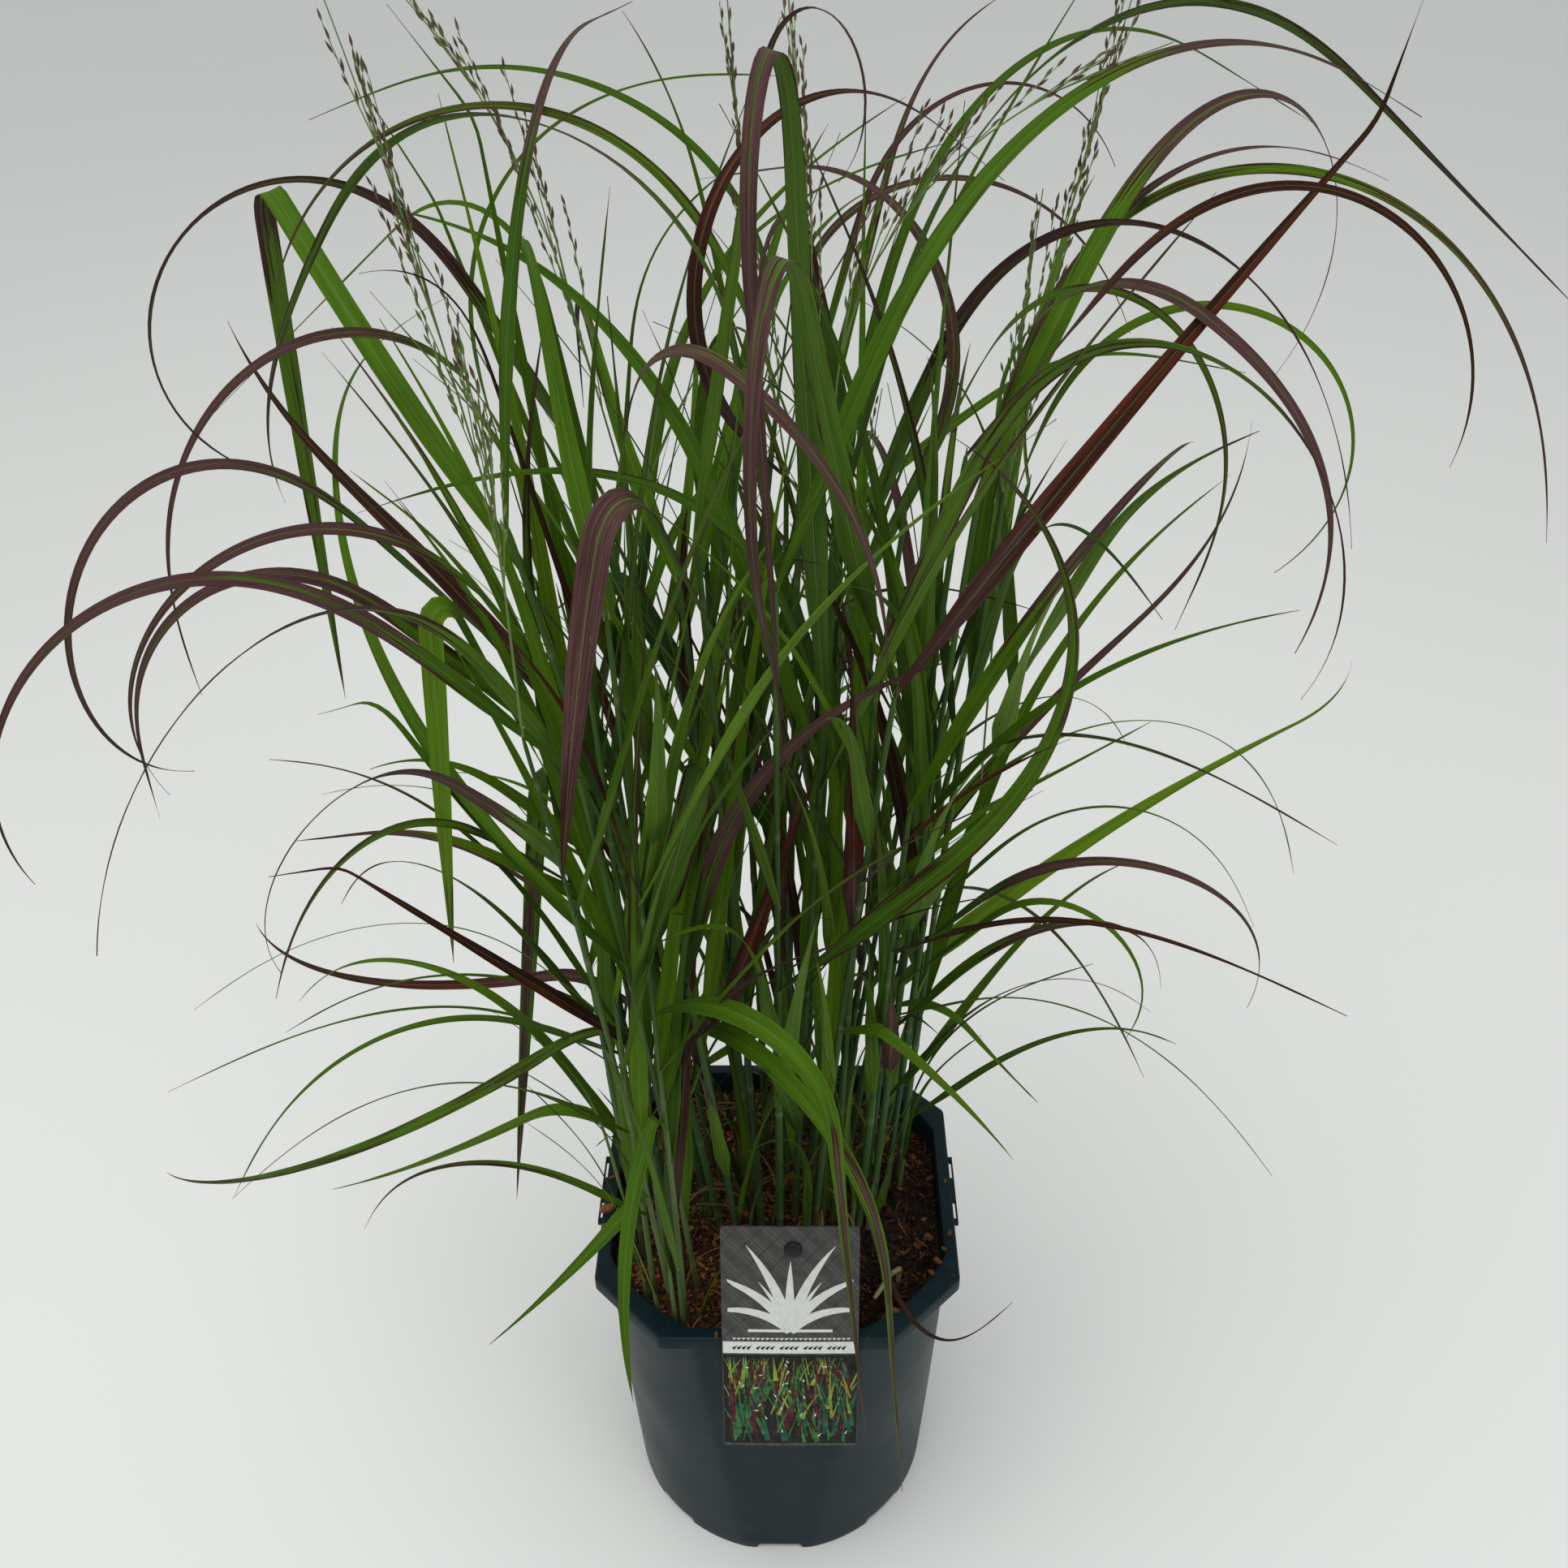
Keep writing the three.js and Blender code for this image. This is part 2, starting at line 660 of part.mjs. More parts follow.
function makeSoil(holes) {
  const size = 2 * lipHalf + 10;
  const geometry = new THREE.BoxGeometry(size, size, soilLevel, soilCells, soilCells, 1);
  geometry.translate(0, 0, soilLevel / 2);
  const position = geometry.attributes.position;
  for (let i = 0; i < position.count; i++) {
    if (position.getZ(i) > soilLevel - 1) {
      position.setZ(i, soilHeight(position.getX(i), position.getY(i)));
    }
  }
  const filling = potForm(potWall + fit, floorTop + fit, potHeight, innerSides);
  let soil = solid(geometry).intersect(filling);
  for (const hole of holes) soil = soil.subtract(hole);
  return soil;
}

// The card and its stake share one leaning frame: the middle of the card's top edge.
function placeOnCard(geometry) {
  geometry.rotateX(radians(-cardLean));
  geometry.translate(0, cardTopY, cardTopZ);
  return geometry;
}

function makeCard() {
  const plate = new THREE.BoxGeometry(cardWidth, cardThickness, cardHeight);
  plate.translate(cardMiddleX, 0, -cardHeight / 2);
  const hole = new THREE.CylinderGeometry(pinRadius + fit, pinRadius + fit, 6, 12);
  hole.translate(pinX, 0, -pinBelowTop);
  return solid(placeOnCard(plate)).subtract(solid(placeOnCard(hole)));
}

// The upright bar of the stake, grown by extra on every side.
function stakeBar(extra, top) {
  const half = stakeWidth / 2 + extra;
  const thin = stakeThickness / 2 + extra;
  return box(pinX - half, pinX + half, stakeY - thin, stakeY + thin, stakeFootZ - extra, top);
}

// The stake stands in the soil behind the card; a pin with a round head runs through the card.
function makeStake() {
  const gap = cardThickness / 2 + fit;
  const front = -gap - 1;
  const back = stakeY - cardTopY + pinBelowTop * Math.sin(radians(cardLean));
  const pin = new THREE.CylinderGeometry(pinRadius, pinRadius, back - front, 12);
  pin.translate(pinX, (front + back) / 2, -pinBelowTop);
  const head = new THREE.CylinderGeometry(pinHeadRadius, pinHeadRadius, pinHeadThickness, 12);
  head.translate(pinX, -gap - pinHeadThickness / 2, -pinBelowTop);
  return solid(placeOnCard(pin)).add(solid(placeOnCard(head))).add(stakeBar(0, stakeTopZ));
}

// ---- growing the clump ----

const pot = makePot();
const card = makeCard();
const stake = makeStake();

// Every placed piece with its box, so that a new one can be kept clear of the others.
const placed = [];

function remember(owner, body) {
  const { min, max } = body.boundingBox();
  const bounds = new THREE.Box3(vector(...min), vector(...max)).expandByScalar(clearance);
  placed.push({ owner, body, bounds });
}

function isClear(owner, body) {
  const { min, max } = body.boundingBox();
  const bounds = new THREE.Box3(vector(...min), vector(...max));
  return placed.every(
    (other) =>
      other.owner === owner ||
      !other.bounds.intersectsBox(bounds) ||
      other.body.minGap(body, 2 * clearance) >= clearance,
  );
}

// Small changes of direction, lean and height that bend a leaf clear of its neighbours.
function* nudges() {
  yield [0, 0, 0];
  for (let ring = 1; ring <= 12; ring++) {
    const turn = 1.5 * ring;
    const lean = ring;
    const lift = 3 * ring;
    yield [turn, 0, 0];
    yield [-turn, 0, 0];
    yield [0, lean, 0];
    yield [0, -lean, 0];
    yield [turn, lean, 0];
    yield [-turn, lean, 0];
    yield [turn, -lean, 0];
    yield [-turn, -lean, 0];
    yield [0, 0, lift];
    yield [0, 0, -lift];
  }
}

function nudged(row, [turn, lean, lift], highest) {
  const moved = row.slice();
  moved[0] = Math.min(Math.max(row[0] + lift, 4), highest);
  moved[1] = row[1] + turn;
  moved[3] = row[3] + lean;
  moved[4] = row[4] + lean;
  return moved;
}

// Grows one leaf on a stem in the first position that clears everything else, if there is one.
function growLeaf(number, row) {
  const spans = bladeSpansFor(row);
  for (const nudge of nudges()) {
    const moved = nudged(row, nudge, tops[number] - 4);
    const body = blade(stemPoint(number, moved[0]), moved, spans);
    if (isClear(number, body)) return body;
    body.delete();
  }
  return null;
}

// The smaller leaves of a stem, by rule. One stands upright and leans in over the clump; a stem of
// the back rows also has one that arches out to the back; and a stem with few large leaves has a
// short one near the soil.
function smallerLeaves(number, random) {
  const { x, y, leaves } = stems[number];
  const inward = THREE.MathUtils.radToDeg(Math.atan2(-y, -x));
  const kinds = ["upright"];
  if (y > backRows) kinds.push("arching");
  if (leaves.length < fewLeaves) kinds.push("low");
  return kinds.map((kind) => {
    const draws = Array.from({ length: 7 }, random);
    const between = (i, low, high) => low + (high - low) * draws[i];
    if (kind === "arching") {
      return [
        between(0, 60, 330), between(1, 45, 135), between(2, 230, 360), between(3, 14, 30),
        between(4, 70, 150), 0.15, 1, 0, between(5, 8, 11), between(6, -25, 25),
      ];
    }
    if (kind === "low") {
      return [
        between(0, 12, 130), inward + between(1, -110, 110), between(2, 130, 260),
        between(3, 8, 20), between(4, 20, 70), 0.3, 1, 0, between(5, 6, 9.5), between(6, -40, 40),
      ];
    }
    return [
      between(0, 90, 300), inward + between(1, -75, 75), between(2, 200, 320),
      between(3, 4, 12), between(4, 12, 36), 0.3, 1, 0, between(5, 7, 10.5), between(6, -40, 40),
    ];
  });
}

const random = sequence(seed);
const smaller = stems.map((_, number) => smallerLeaves(number, random));
const bodies = [];
const holes = [];
const tops = [];

remember("pot", pot);
remember("card", card);
remember("stake", stake);

stems.forEach((stem, number) => {
  const heights = [...stem.leaves, ...smaller[number]].map((row) => row[0]);
  const flowering = panicles.filter((row) => row[0] === number).map((row) => row[1]);
  const top = Math.max(...heights, ...flowering) + 4;
  tops.push(top);
  const body = stemStalk(number, top);
  if (!isClear(number, body)) throw new Error("stem " + number + " touches another piece");
  remember(number, body);
  bodies.push([body]);
  holes.push(stemStalk(number, top, fit + 0.1).intersect(
    box(-lipHalf, lipHalf, -lipHalf, lipHalf, 0, soilLevel + 10)));
});

panicles.forEach((row) => {
  const [number, height] = row;
  const shape = [height, ...row.slice(2, 8), 0];
  let grown = null;
  for (const nudge of nudges()) {
    const moved = nudged(shape, nudge, tops[number] - 4);
    const body = panicle(stemPoint(number, moved[0]), moved, sequence(seed + 31 * number));
    if (isClear(number, body)) {
      grown = body;
      break;
    }
  }
  if (!grown) throw new Error("the panicle on stem " + number + " touches another piece");
  remember(number, grown);
  bodies[number].push(grown);
});

// The large leaves first, from the longest to the shortest, then the smaller ones, which are left
// out where there is no room.
const large = stems.flatMap((stem, number) => stem.leaves.map((row) => [number, row]));
large.sort(([, a], [, b]) => b[2] - a[2]);
large.forEach(([number, row]) => {
  const body = growLeaf(number, row);
  if (!body) throw new Error("a large leaf of stem " + number + " has no clear place");
  remember(number, body);
  bodies[number].push(body);
});

smaller.forEach((rows, number) => {
  rows.forEach((row) => {
    const body = growLeaf(number, row);
    if (!body) return;
    remember(number, body);
    bodies[number].push(body);
  });
});

const clump = new THREE.Group();
bodies.forEach((pieces, number) => {
  const whole = pieces.reduce((sum, piece) => sum.add(piece));
  const name = "stem_" + String(number + 1).padStart(2, "0");
  clump.add(meshOf(name, whole, colours.stem, 0.6));
});
dryStalks.forEach(({ points, radius }, k) => {
  const line = points.map((point) => vector(...point));
  const body = solid(stalk(line, line.map(() => radius), 5));
  const wide = radius + fit + 0.1;
  holes.push(solid(stalk(line.slice(0, 2), [wide, wide], 5)));
  clump.add(meshOf(k === 0 ? "dry_stalk" : "cut_stub", body, colours.dry, 0.8));
});
holes.push(stakeBar(fit, soilLevel + 10));
const soil = makeSoil(holes);

clump.add(meshOf("pot", pot, colours.pot, 0.5));
clump.add(meshOf("soil", soil, colours.soil, 0.95));
clump.add(meshOf("label_card", card, colours.card, 0.45));
clump.add(meshOf("label_stake", stake, colours.stake, 0.4));

export default clump;
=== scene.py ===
import math
from itertools import product

import bpy
from mathutils import Matrix, Vector, kdtree, noise


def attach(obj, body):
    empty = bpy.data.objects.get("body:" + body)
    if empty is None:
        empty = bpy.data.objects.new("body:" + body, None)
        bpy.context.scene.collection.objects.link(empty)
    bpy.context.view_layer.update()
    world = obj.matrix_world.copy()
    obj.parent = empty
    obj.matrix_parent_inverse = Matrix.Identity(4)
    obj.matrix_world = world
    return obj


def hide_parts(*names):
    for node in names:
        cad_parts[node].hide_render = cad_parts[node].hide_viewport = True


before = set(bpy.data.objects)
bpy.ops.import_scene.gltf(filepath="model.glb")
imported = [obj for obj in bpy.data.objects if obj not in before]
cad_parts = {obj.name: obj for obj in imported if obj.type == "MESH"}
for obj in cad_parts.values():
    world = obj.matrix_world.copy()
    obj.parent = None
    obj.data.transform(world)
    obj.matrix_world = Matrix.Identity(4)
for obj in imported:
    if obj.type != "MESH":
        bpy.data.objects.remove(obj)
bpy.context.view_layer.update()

MM = 0.001
SOIL_LEVEL = 198.5

SEED = 20241
SHADE_SEED, CULM_SEED, BRANCH_SEED = 11, 900, 5000
UNDERGROWTH_SEED, CHIP_SEED, PRINT_SEED = 9091, 77, 4242

# The first few stems are the thin tuft at the front left. A stem leans further the further out it
# stands, up to a limit, and bows outward with its height.
FRONT_TUFT_STEMS = 5
STEM_RADIUS, FRONT_TUFT_RADIUS, STEM_TIP_RADIUS = 2.5, 2.1, 1.3
LEAN_PER_MM, MOST_LEAN, FRONT_TUFT_LEAN = 0.2, 11, 6
UPRIGHT_SHARE = 0.3
STEM_BOW, BOW_HEIGHT = 0.4, 500
SHORTEST_TAPER = 300
BACK_ROWS = 15

# A blade longer than the fine length has a ring of points at each half step as well.
CURVE_STEPS = 40
FINE_LENGTH = 240
BLADE_THICKNESS = 0.75
TIP_WIDTH = 0.9
LOWEST_LEAF = 4
LEAF_GAP = 3.2

# A leaf of a solid is known by a corner where its tip would have one, and a panicle by one as far
# from the end of its middle line as its tip is thick.
BLADE_MATCH, PANICLE_MATCH = 0.05, 0.01
PANICLE_TIP = 0.55

# Each stem: where it stands on the soil, whether it stands upright, then its large leaves. A leaf is
# height, azimuth, length, lean at the base and tip, the part of the length that bends, turn, width,
# twist, and its tint: g green, d dark green, p purple above, m maroon, s striped, o olive, b banded,
# f purple from its middle on, e purple near its end, h and k purple where it hangs, w withered.
STEMS = [
    (-47, -72, True, (
        (420, 112, 270, 40, 105, 0.32, 0.69, -15, 8, 15, 'g'),
        (145, -140, 160, 20, 155, 0.07, 0.12, 70, 10, 20, 'g'),
    )),
    (-54, -67, False, (
        (295, 146, 440, 65, 90, 0.5, 0.85, -80, 6.5, -20, 'g'),
        (100, -134, 100, 65, 115, 0.04, 0.09, -15, 9, -5, 'g'),
    )),
    (-57, -57, True, (
        (385, 10, 310, 15, 110, 0.33, 0.55, -110, 11, 25, 'f'),
        (200, -40, 360, 45, 175, 0.05, 0.44, 40, 11, 40, 'b'),
    )),
    (-42, -54, False, (
        (355, -174, 300, 40, 235, 0.23, 1.29, 50, 10, -40, 'p'),
        (250, 168, 200, 45, 120, 0.66, 0.83, -30, 8, -5, 'g'),
    )),
    (-64, -60, True, ()),
    (-81, 4, True, ()),
    (-70, 8, True, (
        (380, 136, 520, 55, 175, 0.42, 0.47, -15, 11, -10, 'k'),
        (30, 176, 290, 35, 130, 0.05, 0.3, -30, 8, -30, 'g'),
        (20, 168, 280, 30, 145, 0.25, 1.05, -5, 9, -15, 'g'),
    )),
    (-72, -30, True, (
        (265, -88, 280, 40, 255, 0.5, 1.25, -50, 9, 45, 'f'),
        (260, -146, 190, 40, 155, 0.23, 1.1, 30, 6.5, -40, 'o'),
    )),
    (-58, -22, True, (
        (365, -130, 270, 35, 255, 0.18, 1.37, -20, 9, -40, 'f'),
    )),
    (-52, 6, True, (
        (295, 164, 300, 45, 70, 0.14, 0.65, -45, 12.5, -10, 'm'),
        (280, -170, 320, 40, 180, 0.39, 0.95, 30, 12.5, -40, 'f'),
    )),
    (-30, -20, False, (
        (445, 82, 370, 15, 95, -0.05, 0.75, 5, 5.5, 5, 'f'),
        (240, -174, 160, 55, 100, 0.38, 0.87, -10, 8, -25, 'e'),
        (217, -49, 177, 20, 165, 0.76, 0.86, -4, 13, -48, 'd'),
        (135, -136, 300, 35, 65, 0.87, 0.93, 10, 11, -50, 'm'),
    )),
    (-20, -31, False, (
        (219, 9, 212, 9, 93, 0.07, 1.25, 1, 13, 60, 'p'),
        (184, 18, 158, 44, 19, 0.11, 0.16, -4, 11, 62, 'm'),
    )),
    (-9, -14, False, (
        (430, -52, 270, 15, 235, 0.6, 1.05, 0, 6.5, -15, 'e'),
        (425, -178, 580, -30, 135, -0.05, 0.55, -80, 7, 30, 'p'),
    )),
    (1, -22, False, (
        (420, 26, 380, 25, 115, 0.15, 0.95, 5, 10, 30, 'e'),
        (198, -23, 347, 39, -79, 0.29, 1.25, 34, 13, 70, 's'),
    )),
    (-38, -4, False, (
        (345, -160, 360, 35, 240, 0.27, 1.05, 60, 8, -40, 'f'),
        (250, 168, 120, 50, 115, 0.41, 1.1, 15, 9, -25, 'g'),
        (235, -136, 360, 20, 175, 0.5, 0.55, 0, 10, -35, 'g'),
        (130, -162, 450, 40, 125, 0, 0.15, -70, 9, -30, 'o'),
        (125, -56, 400, 20, 175, -0.07, 0.64, 35, 11, 15, 'b'),
    )),
    (-42, 18, False, (
        (75, 22, 160, 65, 125, 0.06, 0.88, 5, 5.5, 20, 'g'),
    )),
    (-27, 7, False, (
        (210, -113.5, 450, 31, 181, 0.45, 1.15, -10, 11, 40, 'e'),
    )),
    (-14, 3, False, (
        (385, 122, 220, 50, 185, 0.46, 0.97, -25, 9, 15, 'e'),
    )),
    (-31, 32, False, (
        (330, 28, 220, 10, 65, 0.55, 1, 0, 3.5, 50, 'g'),
        (305, 156, 270, 20, 35, 0.8, 0.85, 0, 6.5, -30, 'g'),
        (290, 68, 240, 75, 35, 0.2, 0.25, 25, 10, -15, 'g'),
        (165, -126, 410, 15, 95, 0.8, 1.05, 0, 6.5, 30, 'm'),
    )),
    (-18, 21, False, ()),
    (-46, 38, False, (
        (370, 10, 290, -10, 95, 0.15, 1, 0, 4, 50, 'g'),
        (365, -140, 340, 0, 185, -0.05, 1, 0, 8, -40, 'f'),
        (275, 176, 160, 35, 60, 0.49, 0.93, -20, 5.5, -25, 'g'),
        (215, -178, 390, 5, 35, 0.85, 0.9, 0, 10, -50, 'g'),
        (90, -178, 390, 50, 110, 0.1, 0.2, -65, 9, -20, 'm'),
        (80, 148, 590, 10, 170, 0.23, 0.39, 0, 12, 30, 'b'),
    )),
    (-7, 38, False, (
        (400, -168, 360, -70, 110, -0.35, 0.9, -50, 6, -45, 'g'),
    )),
    (9, -7, False, (
        (425, 26, 540, 15, 125, 0.1, 0.65, 0, 8, -50, 'o'),
        (335, -102, 600, 15, 195, 0.4, 0.65, 5, 10.5, -15, 'p'),
    )),
    (19, -16, False, (
        (360, 12, 300, 35, 10, 0.85, 0.9, -20, 13, 45, 'm'),
        (160, -14, 110, 70, 125, 0.16, 0.21, -25, 8, 15, 'g'),
    )),
    (30, -9, True, (
        (360, -52, 360, 25, 245, 0.26, 1.28, 5, 9.5, -50, 'h'),
        (240, -160, 400, 25, 160, 0.58, 0.7, 55, 12.5, -20, 'h'),
        (225, 10, 160, 50, 65, 0.44, 0.5, 5, 5.5, 25, 'g'),
    )),
    (4, 12, False, (
        (415, 44, 320, -45, 125, 0.04, 0.91, -5, 9, 25, 'm'),
        (225, 140, 230, 40, 130, 0.62, 0.77, 5, 13, -10, 'd'),
    )),
    (17, 7, False, (
        (355, -102, 500, 40, 215, 0.49, 0.86, 5, 12.5, -10, 'e'),
    )),
    (29, 13, False, ()),
    (10, 27, False, (
        (395, 32, 410, 15, 115, 0.15, 0.8, 5, 5.5, 40, 'd'),
        (375, -160, 370, 20, 190, 0.25, 1.25, 0, 9, -50, 's'),
        (265, 138, 340, 15, 55, 0.7, 1.1, 0, 8, -15, 'g'),
        (55, -150, 260, 10, 180, 0.4, 1.15, 0, 5.5, 50, 'm'),
    )),
    (22, 31, False, (
        (380, -44, 330, 25, 195, 0.2, 0.95, -5, 6.5, 45, 's'),
        (135, 50, 370, 55, -10, 0.6, 1.1, -40, 10, 15, 'f'),
    )),
    (37, 26, False, (
        (360, -22, 320, 15, 235, 0.15, 1.15, -5, 6.5, 50, 'g'),
        (120, 38, 330, 70, -20, 0.84, 1.06, -25, 13, 15, 'g'),
    )),
    (2, 50, False, (
        (375, 2, 280, 15, 170, 0.4, 1.15, 0, 6.5, 50, 'f'),
        (330, 44, 300, 20, 75, 0.6, 1, 0, 9, 15, 'e'),
    )),
    (44, -13, True, (
        (285, 26, 290, 30, 120, -0.05, 1.2, 45, 10, 5, 'f'),
        (35, -86, 310, 75, 25, -0.05, 1, 15, 3.5, 40, 'm'),
    )),
    (52, 2, True, (
        (425, 58, 410, 45, 255, 0.22, 1.26, -35, 10, 40, 'f'),
        (165, -36, 210, 35, 200, 0.33, 1.04, 5, 6.5, 35, 'g'),
        (135, -12, 200, 35, 175, 0.14, 1.11, 40, 8, 20, 'f'),
    )),
    (61, 16, True, ()),
    (46, 41, False, (
        (385, -24, 400, -25, 170, -0.19, 1.09, -15, 8, 50, 'o'),
    )),
    (55, 31, False, ()),
    (67, 22, True, (
        (415, -12, 350, -15, 100, -0.02, 0.49, -110, 9, 25, 'p'),
        (325, 60, 390, -10, 115, -0.07, 1.06, -35, 9, 15, 'f'),
    )),
    (49, 13, True, (
        (435, -42, 300, 35, 230, 0.28, 1.28, 0, 8, 50, 'm'),
        (245, -4, 210, 30, 85, -0.05, 1.25, 5, 7, 30, 'g'),
        (165, -54, 280, 35, 235, 0.26, 1.3, 60, 9, 30, 'f'),
        (135, -24, 110, 40, 140, -0.04, 0.5, 20, 5.5, 30, 'g'),
    )),
    (-22, 56, True, (
        (380, -66, 160, 5, 105, 0.15, 1.16, -5, 10, 0, 'g'),
    )),
    (14, 60, False, (
        (380, -110, 230, 25, 180, 0.52, 0.94, -5, 9, 0, 'f'),
        (380, -10, 300, -70, 160, -0.28, 1.1, 15, 6.5, 50, 'p'),
        (350, 34, 230, 60, 100, 0.38, 0.84, -40, 6.5, 40, 'g'),
        (305, -34, 440, 20, 170, 0.25, 1.1, -20, 10, -50, 'f'),
        (290, 142, 380, -25, 105, 0.29, 0.87, -10, 11, -25, 'f'),
    )),
    (34, 56, False, ()),
    (-37, 60, False, (
        (365, -122, 400, 30, 285, 0.31, 1.23, -30, 8.5, 50, 'f'),
        (285, 162, 440, 10, 130, 0.4, 0.65, 0, 5.5, -35, 'g'),
    )),
]

# Panicles: stem, height, azimuth, length, lean at the base and tip, and the part that bends.
PANICLES = [
    (14, 325, 168, 300, 10, 15, 0.5, 1),
    (19, 310, 152, 330, 15, 50, 0.5, 1),
    (28, 295, 126, 320, 15, 5, 0.5, 1),
    (22, 330, 98, 320, 10, 40, 0.1, 1),
    (26, 355, 16, 300, -15, 75, 0.1, 1),
    (30, 250, 24, 370, 10, 15, 0.5, 1),
    (36, 230, 28, 300, 0, 5, 0.5, 1),
    (40, 105, 34, 330, 5, 10, 0.5, 1),
    (1, 385, 180, 150, 0, 10, 0.5, 1),
]
PANICLE_BRANCHES = 5

# The smaller leaves: for each kind the range of its height, azimuth (of the upright and low ones from
# straight across the clump), length, lean at the base and tip, width and twist, and where it starts
# to bend.
SMALLER_LEAVES = {
    "upright": ((90, 300), (-75, 75), (200, 320), (4, 12), (12, 36), (7, 10.5), (-40, 40), 0.3),
    "arching": ((60, 330), (45, 135), (230, 360), (14, 30), (70, 150), (8, 11), (-25, 25), 0.15),
    "low": ((12, 130), (-110, 110), (130, 260), (8, 20), (20, 70), (6, 9.5), (-40, 40), 0.3),
}
SMALLER_TINTS = "gggsgdgp"


# ---- numbers ----

def sequence(start):
    """A repeatable sequence of numbers from 0 to 1."""
    state = start

    def draw():
        nonlocal state
        state = (state * 16807) % 2147483647
        return state / 2147483647

    return draw


def ease(value, start, end):
    t = min(max((value - start) / max(end - start, 0.02), 0.0), 1.0)
    return t * t * (3 - 2 * t)


def mixed(a, b, share):
    return a + (b - a) * share


def swing(draw, amount):
    """A random change of up to half the amount either way."""
    return amount * (draw() - 0.5)


def aside(angle, distance=1.0):
    return Vector((math.cos(angle), math.sin(angle), 0)) * distance


def turns(sides):
    return [2 * math.pi * k / sides for k in range(sides)]


# ---- materials ----

class Graph:
    """A material and short ways to add shader nodes to it."""

    def __init__(self, name, roughness=0.5, specular=0.5):
        self.material = bpy.data.materials.new(name)
        self.material.use_nodes = True
        self.tree = self.material.node_tree
        self.shader = self.tree.nodes["Principled BSDF"]
        self.shader.inputs["Roughness"].default_value = roughness
        self.shader.inputs["Specular IOR Level"].default_value = specular

    def put(self, socket, value):
        if isinstance(value, bpy.types.NodeSocket):
            self.tree.links.new(value, socket)
        elif isinstance(value, tuple) and len(value) == 3 and socket.type == "RGBA":
            socket.default_value = (*value, 1.0)
        else:
            socket.default_value = value

    def math(self, operation, a, b=0.0):
        node = self.tree.nodes.new("ShaderNodeMath")
        node.operation = operation
        for socket, value in zip(node.inputs, (a, b)):
            self.put(socket, value)
        return node.outputs[0]

    def times(self, a, b):
        return self.math("MULTIPLY", a, b)

    def swing(self, value, amount):
        """A value of 0 to 1 made into a change of half the amount either way."""
        return self.times(self.math("SUBTRACT", value, 0.5), amount)

    def total(self, first, *others):
        for other in others:
            first = self.math("ADD", first, other)
        return first

    def step(self, value, low, high, start=0.0, end=1.0):
        node = self.tree.nodes.new("ShaderNodeMapRange")
        node.interpolation_type = "SMOOTHSTEP"
        for socket, number in zip(node.inputs, (value, low, high, start, end)):
            self.put(socket, number)
        return node.outputs[0]

    def mix(self, share, a, b):
        node = self.tree.nodes.new("ShaderNodeMix")
        node.data_type = "RGBA"
        self.put(node.inputs[0], share)
        self.put(node.inputs[6], a)
        self.put(node.inputs[7], b)
        return node.outputs[2]

    def attribute(self, name):
        node = self.tree.nodes.new("ShaderNodeAttribute")
        node.attribute_name = name
        return node.outputs

    def parts(self, vector):
        node = self.tree.nodes.new("ShaderNodeSeparateXYZ")
        self.put(node.inputs[0], vector)
        return node.outputs

    def spot(self):
        return self.parts(self.attribute("spot")["Vector"])

    def vector(self, x, y, z):
        node = self.tree.nodes.new("ShaderNodeCombineXYZ")
        for socket, value in zip(node.inputs, (x, y, z)):
            self.put(socket, value)
        return node.outputs[0]

    def place(self):
        return self.tree.nodes.new("ShaderNodeTexCoord").outputs["Object"]

    def noise(self, vector, scale, detail=2.0):
        node = self.tree.nodes.new("ShaderNodeTexNoise")
        self.put(node.inputs["Vector"], vector)
        node.inputs["Scale"].default_value = scale
        node.inputs["Detail"].default_value = detail
        return node.outputs[0]

    def fibres(self, spot, along, across, detail):
        """Noise drawn out along a blade or stalk and different on each one, with its two scales."""
        flow = self.vector(self.times(spot[0], along), self.times(spot[1], across), spot[2])
        return self.noise(flow, 1.0, detail)

    def colour(self, value):
        self.put(self.shader.inputs["Base Color"], value)

    def bump(self, height, distance, strength=1.0):
        node = self.tree.nodes.new("ShaderNodeBump")
        node.inputs["Strength"].default_value = strength
        node.inputs["Distance"].default_value = distance
        self.put(node.inputs["Height"], height)
        self.put(self.shader.inputs["Normal"], node.outputs[0])

    def rough(self, value):
        self.put(self.shader.inputs["Roughness"], value)


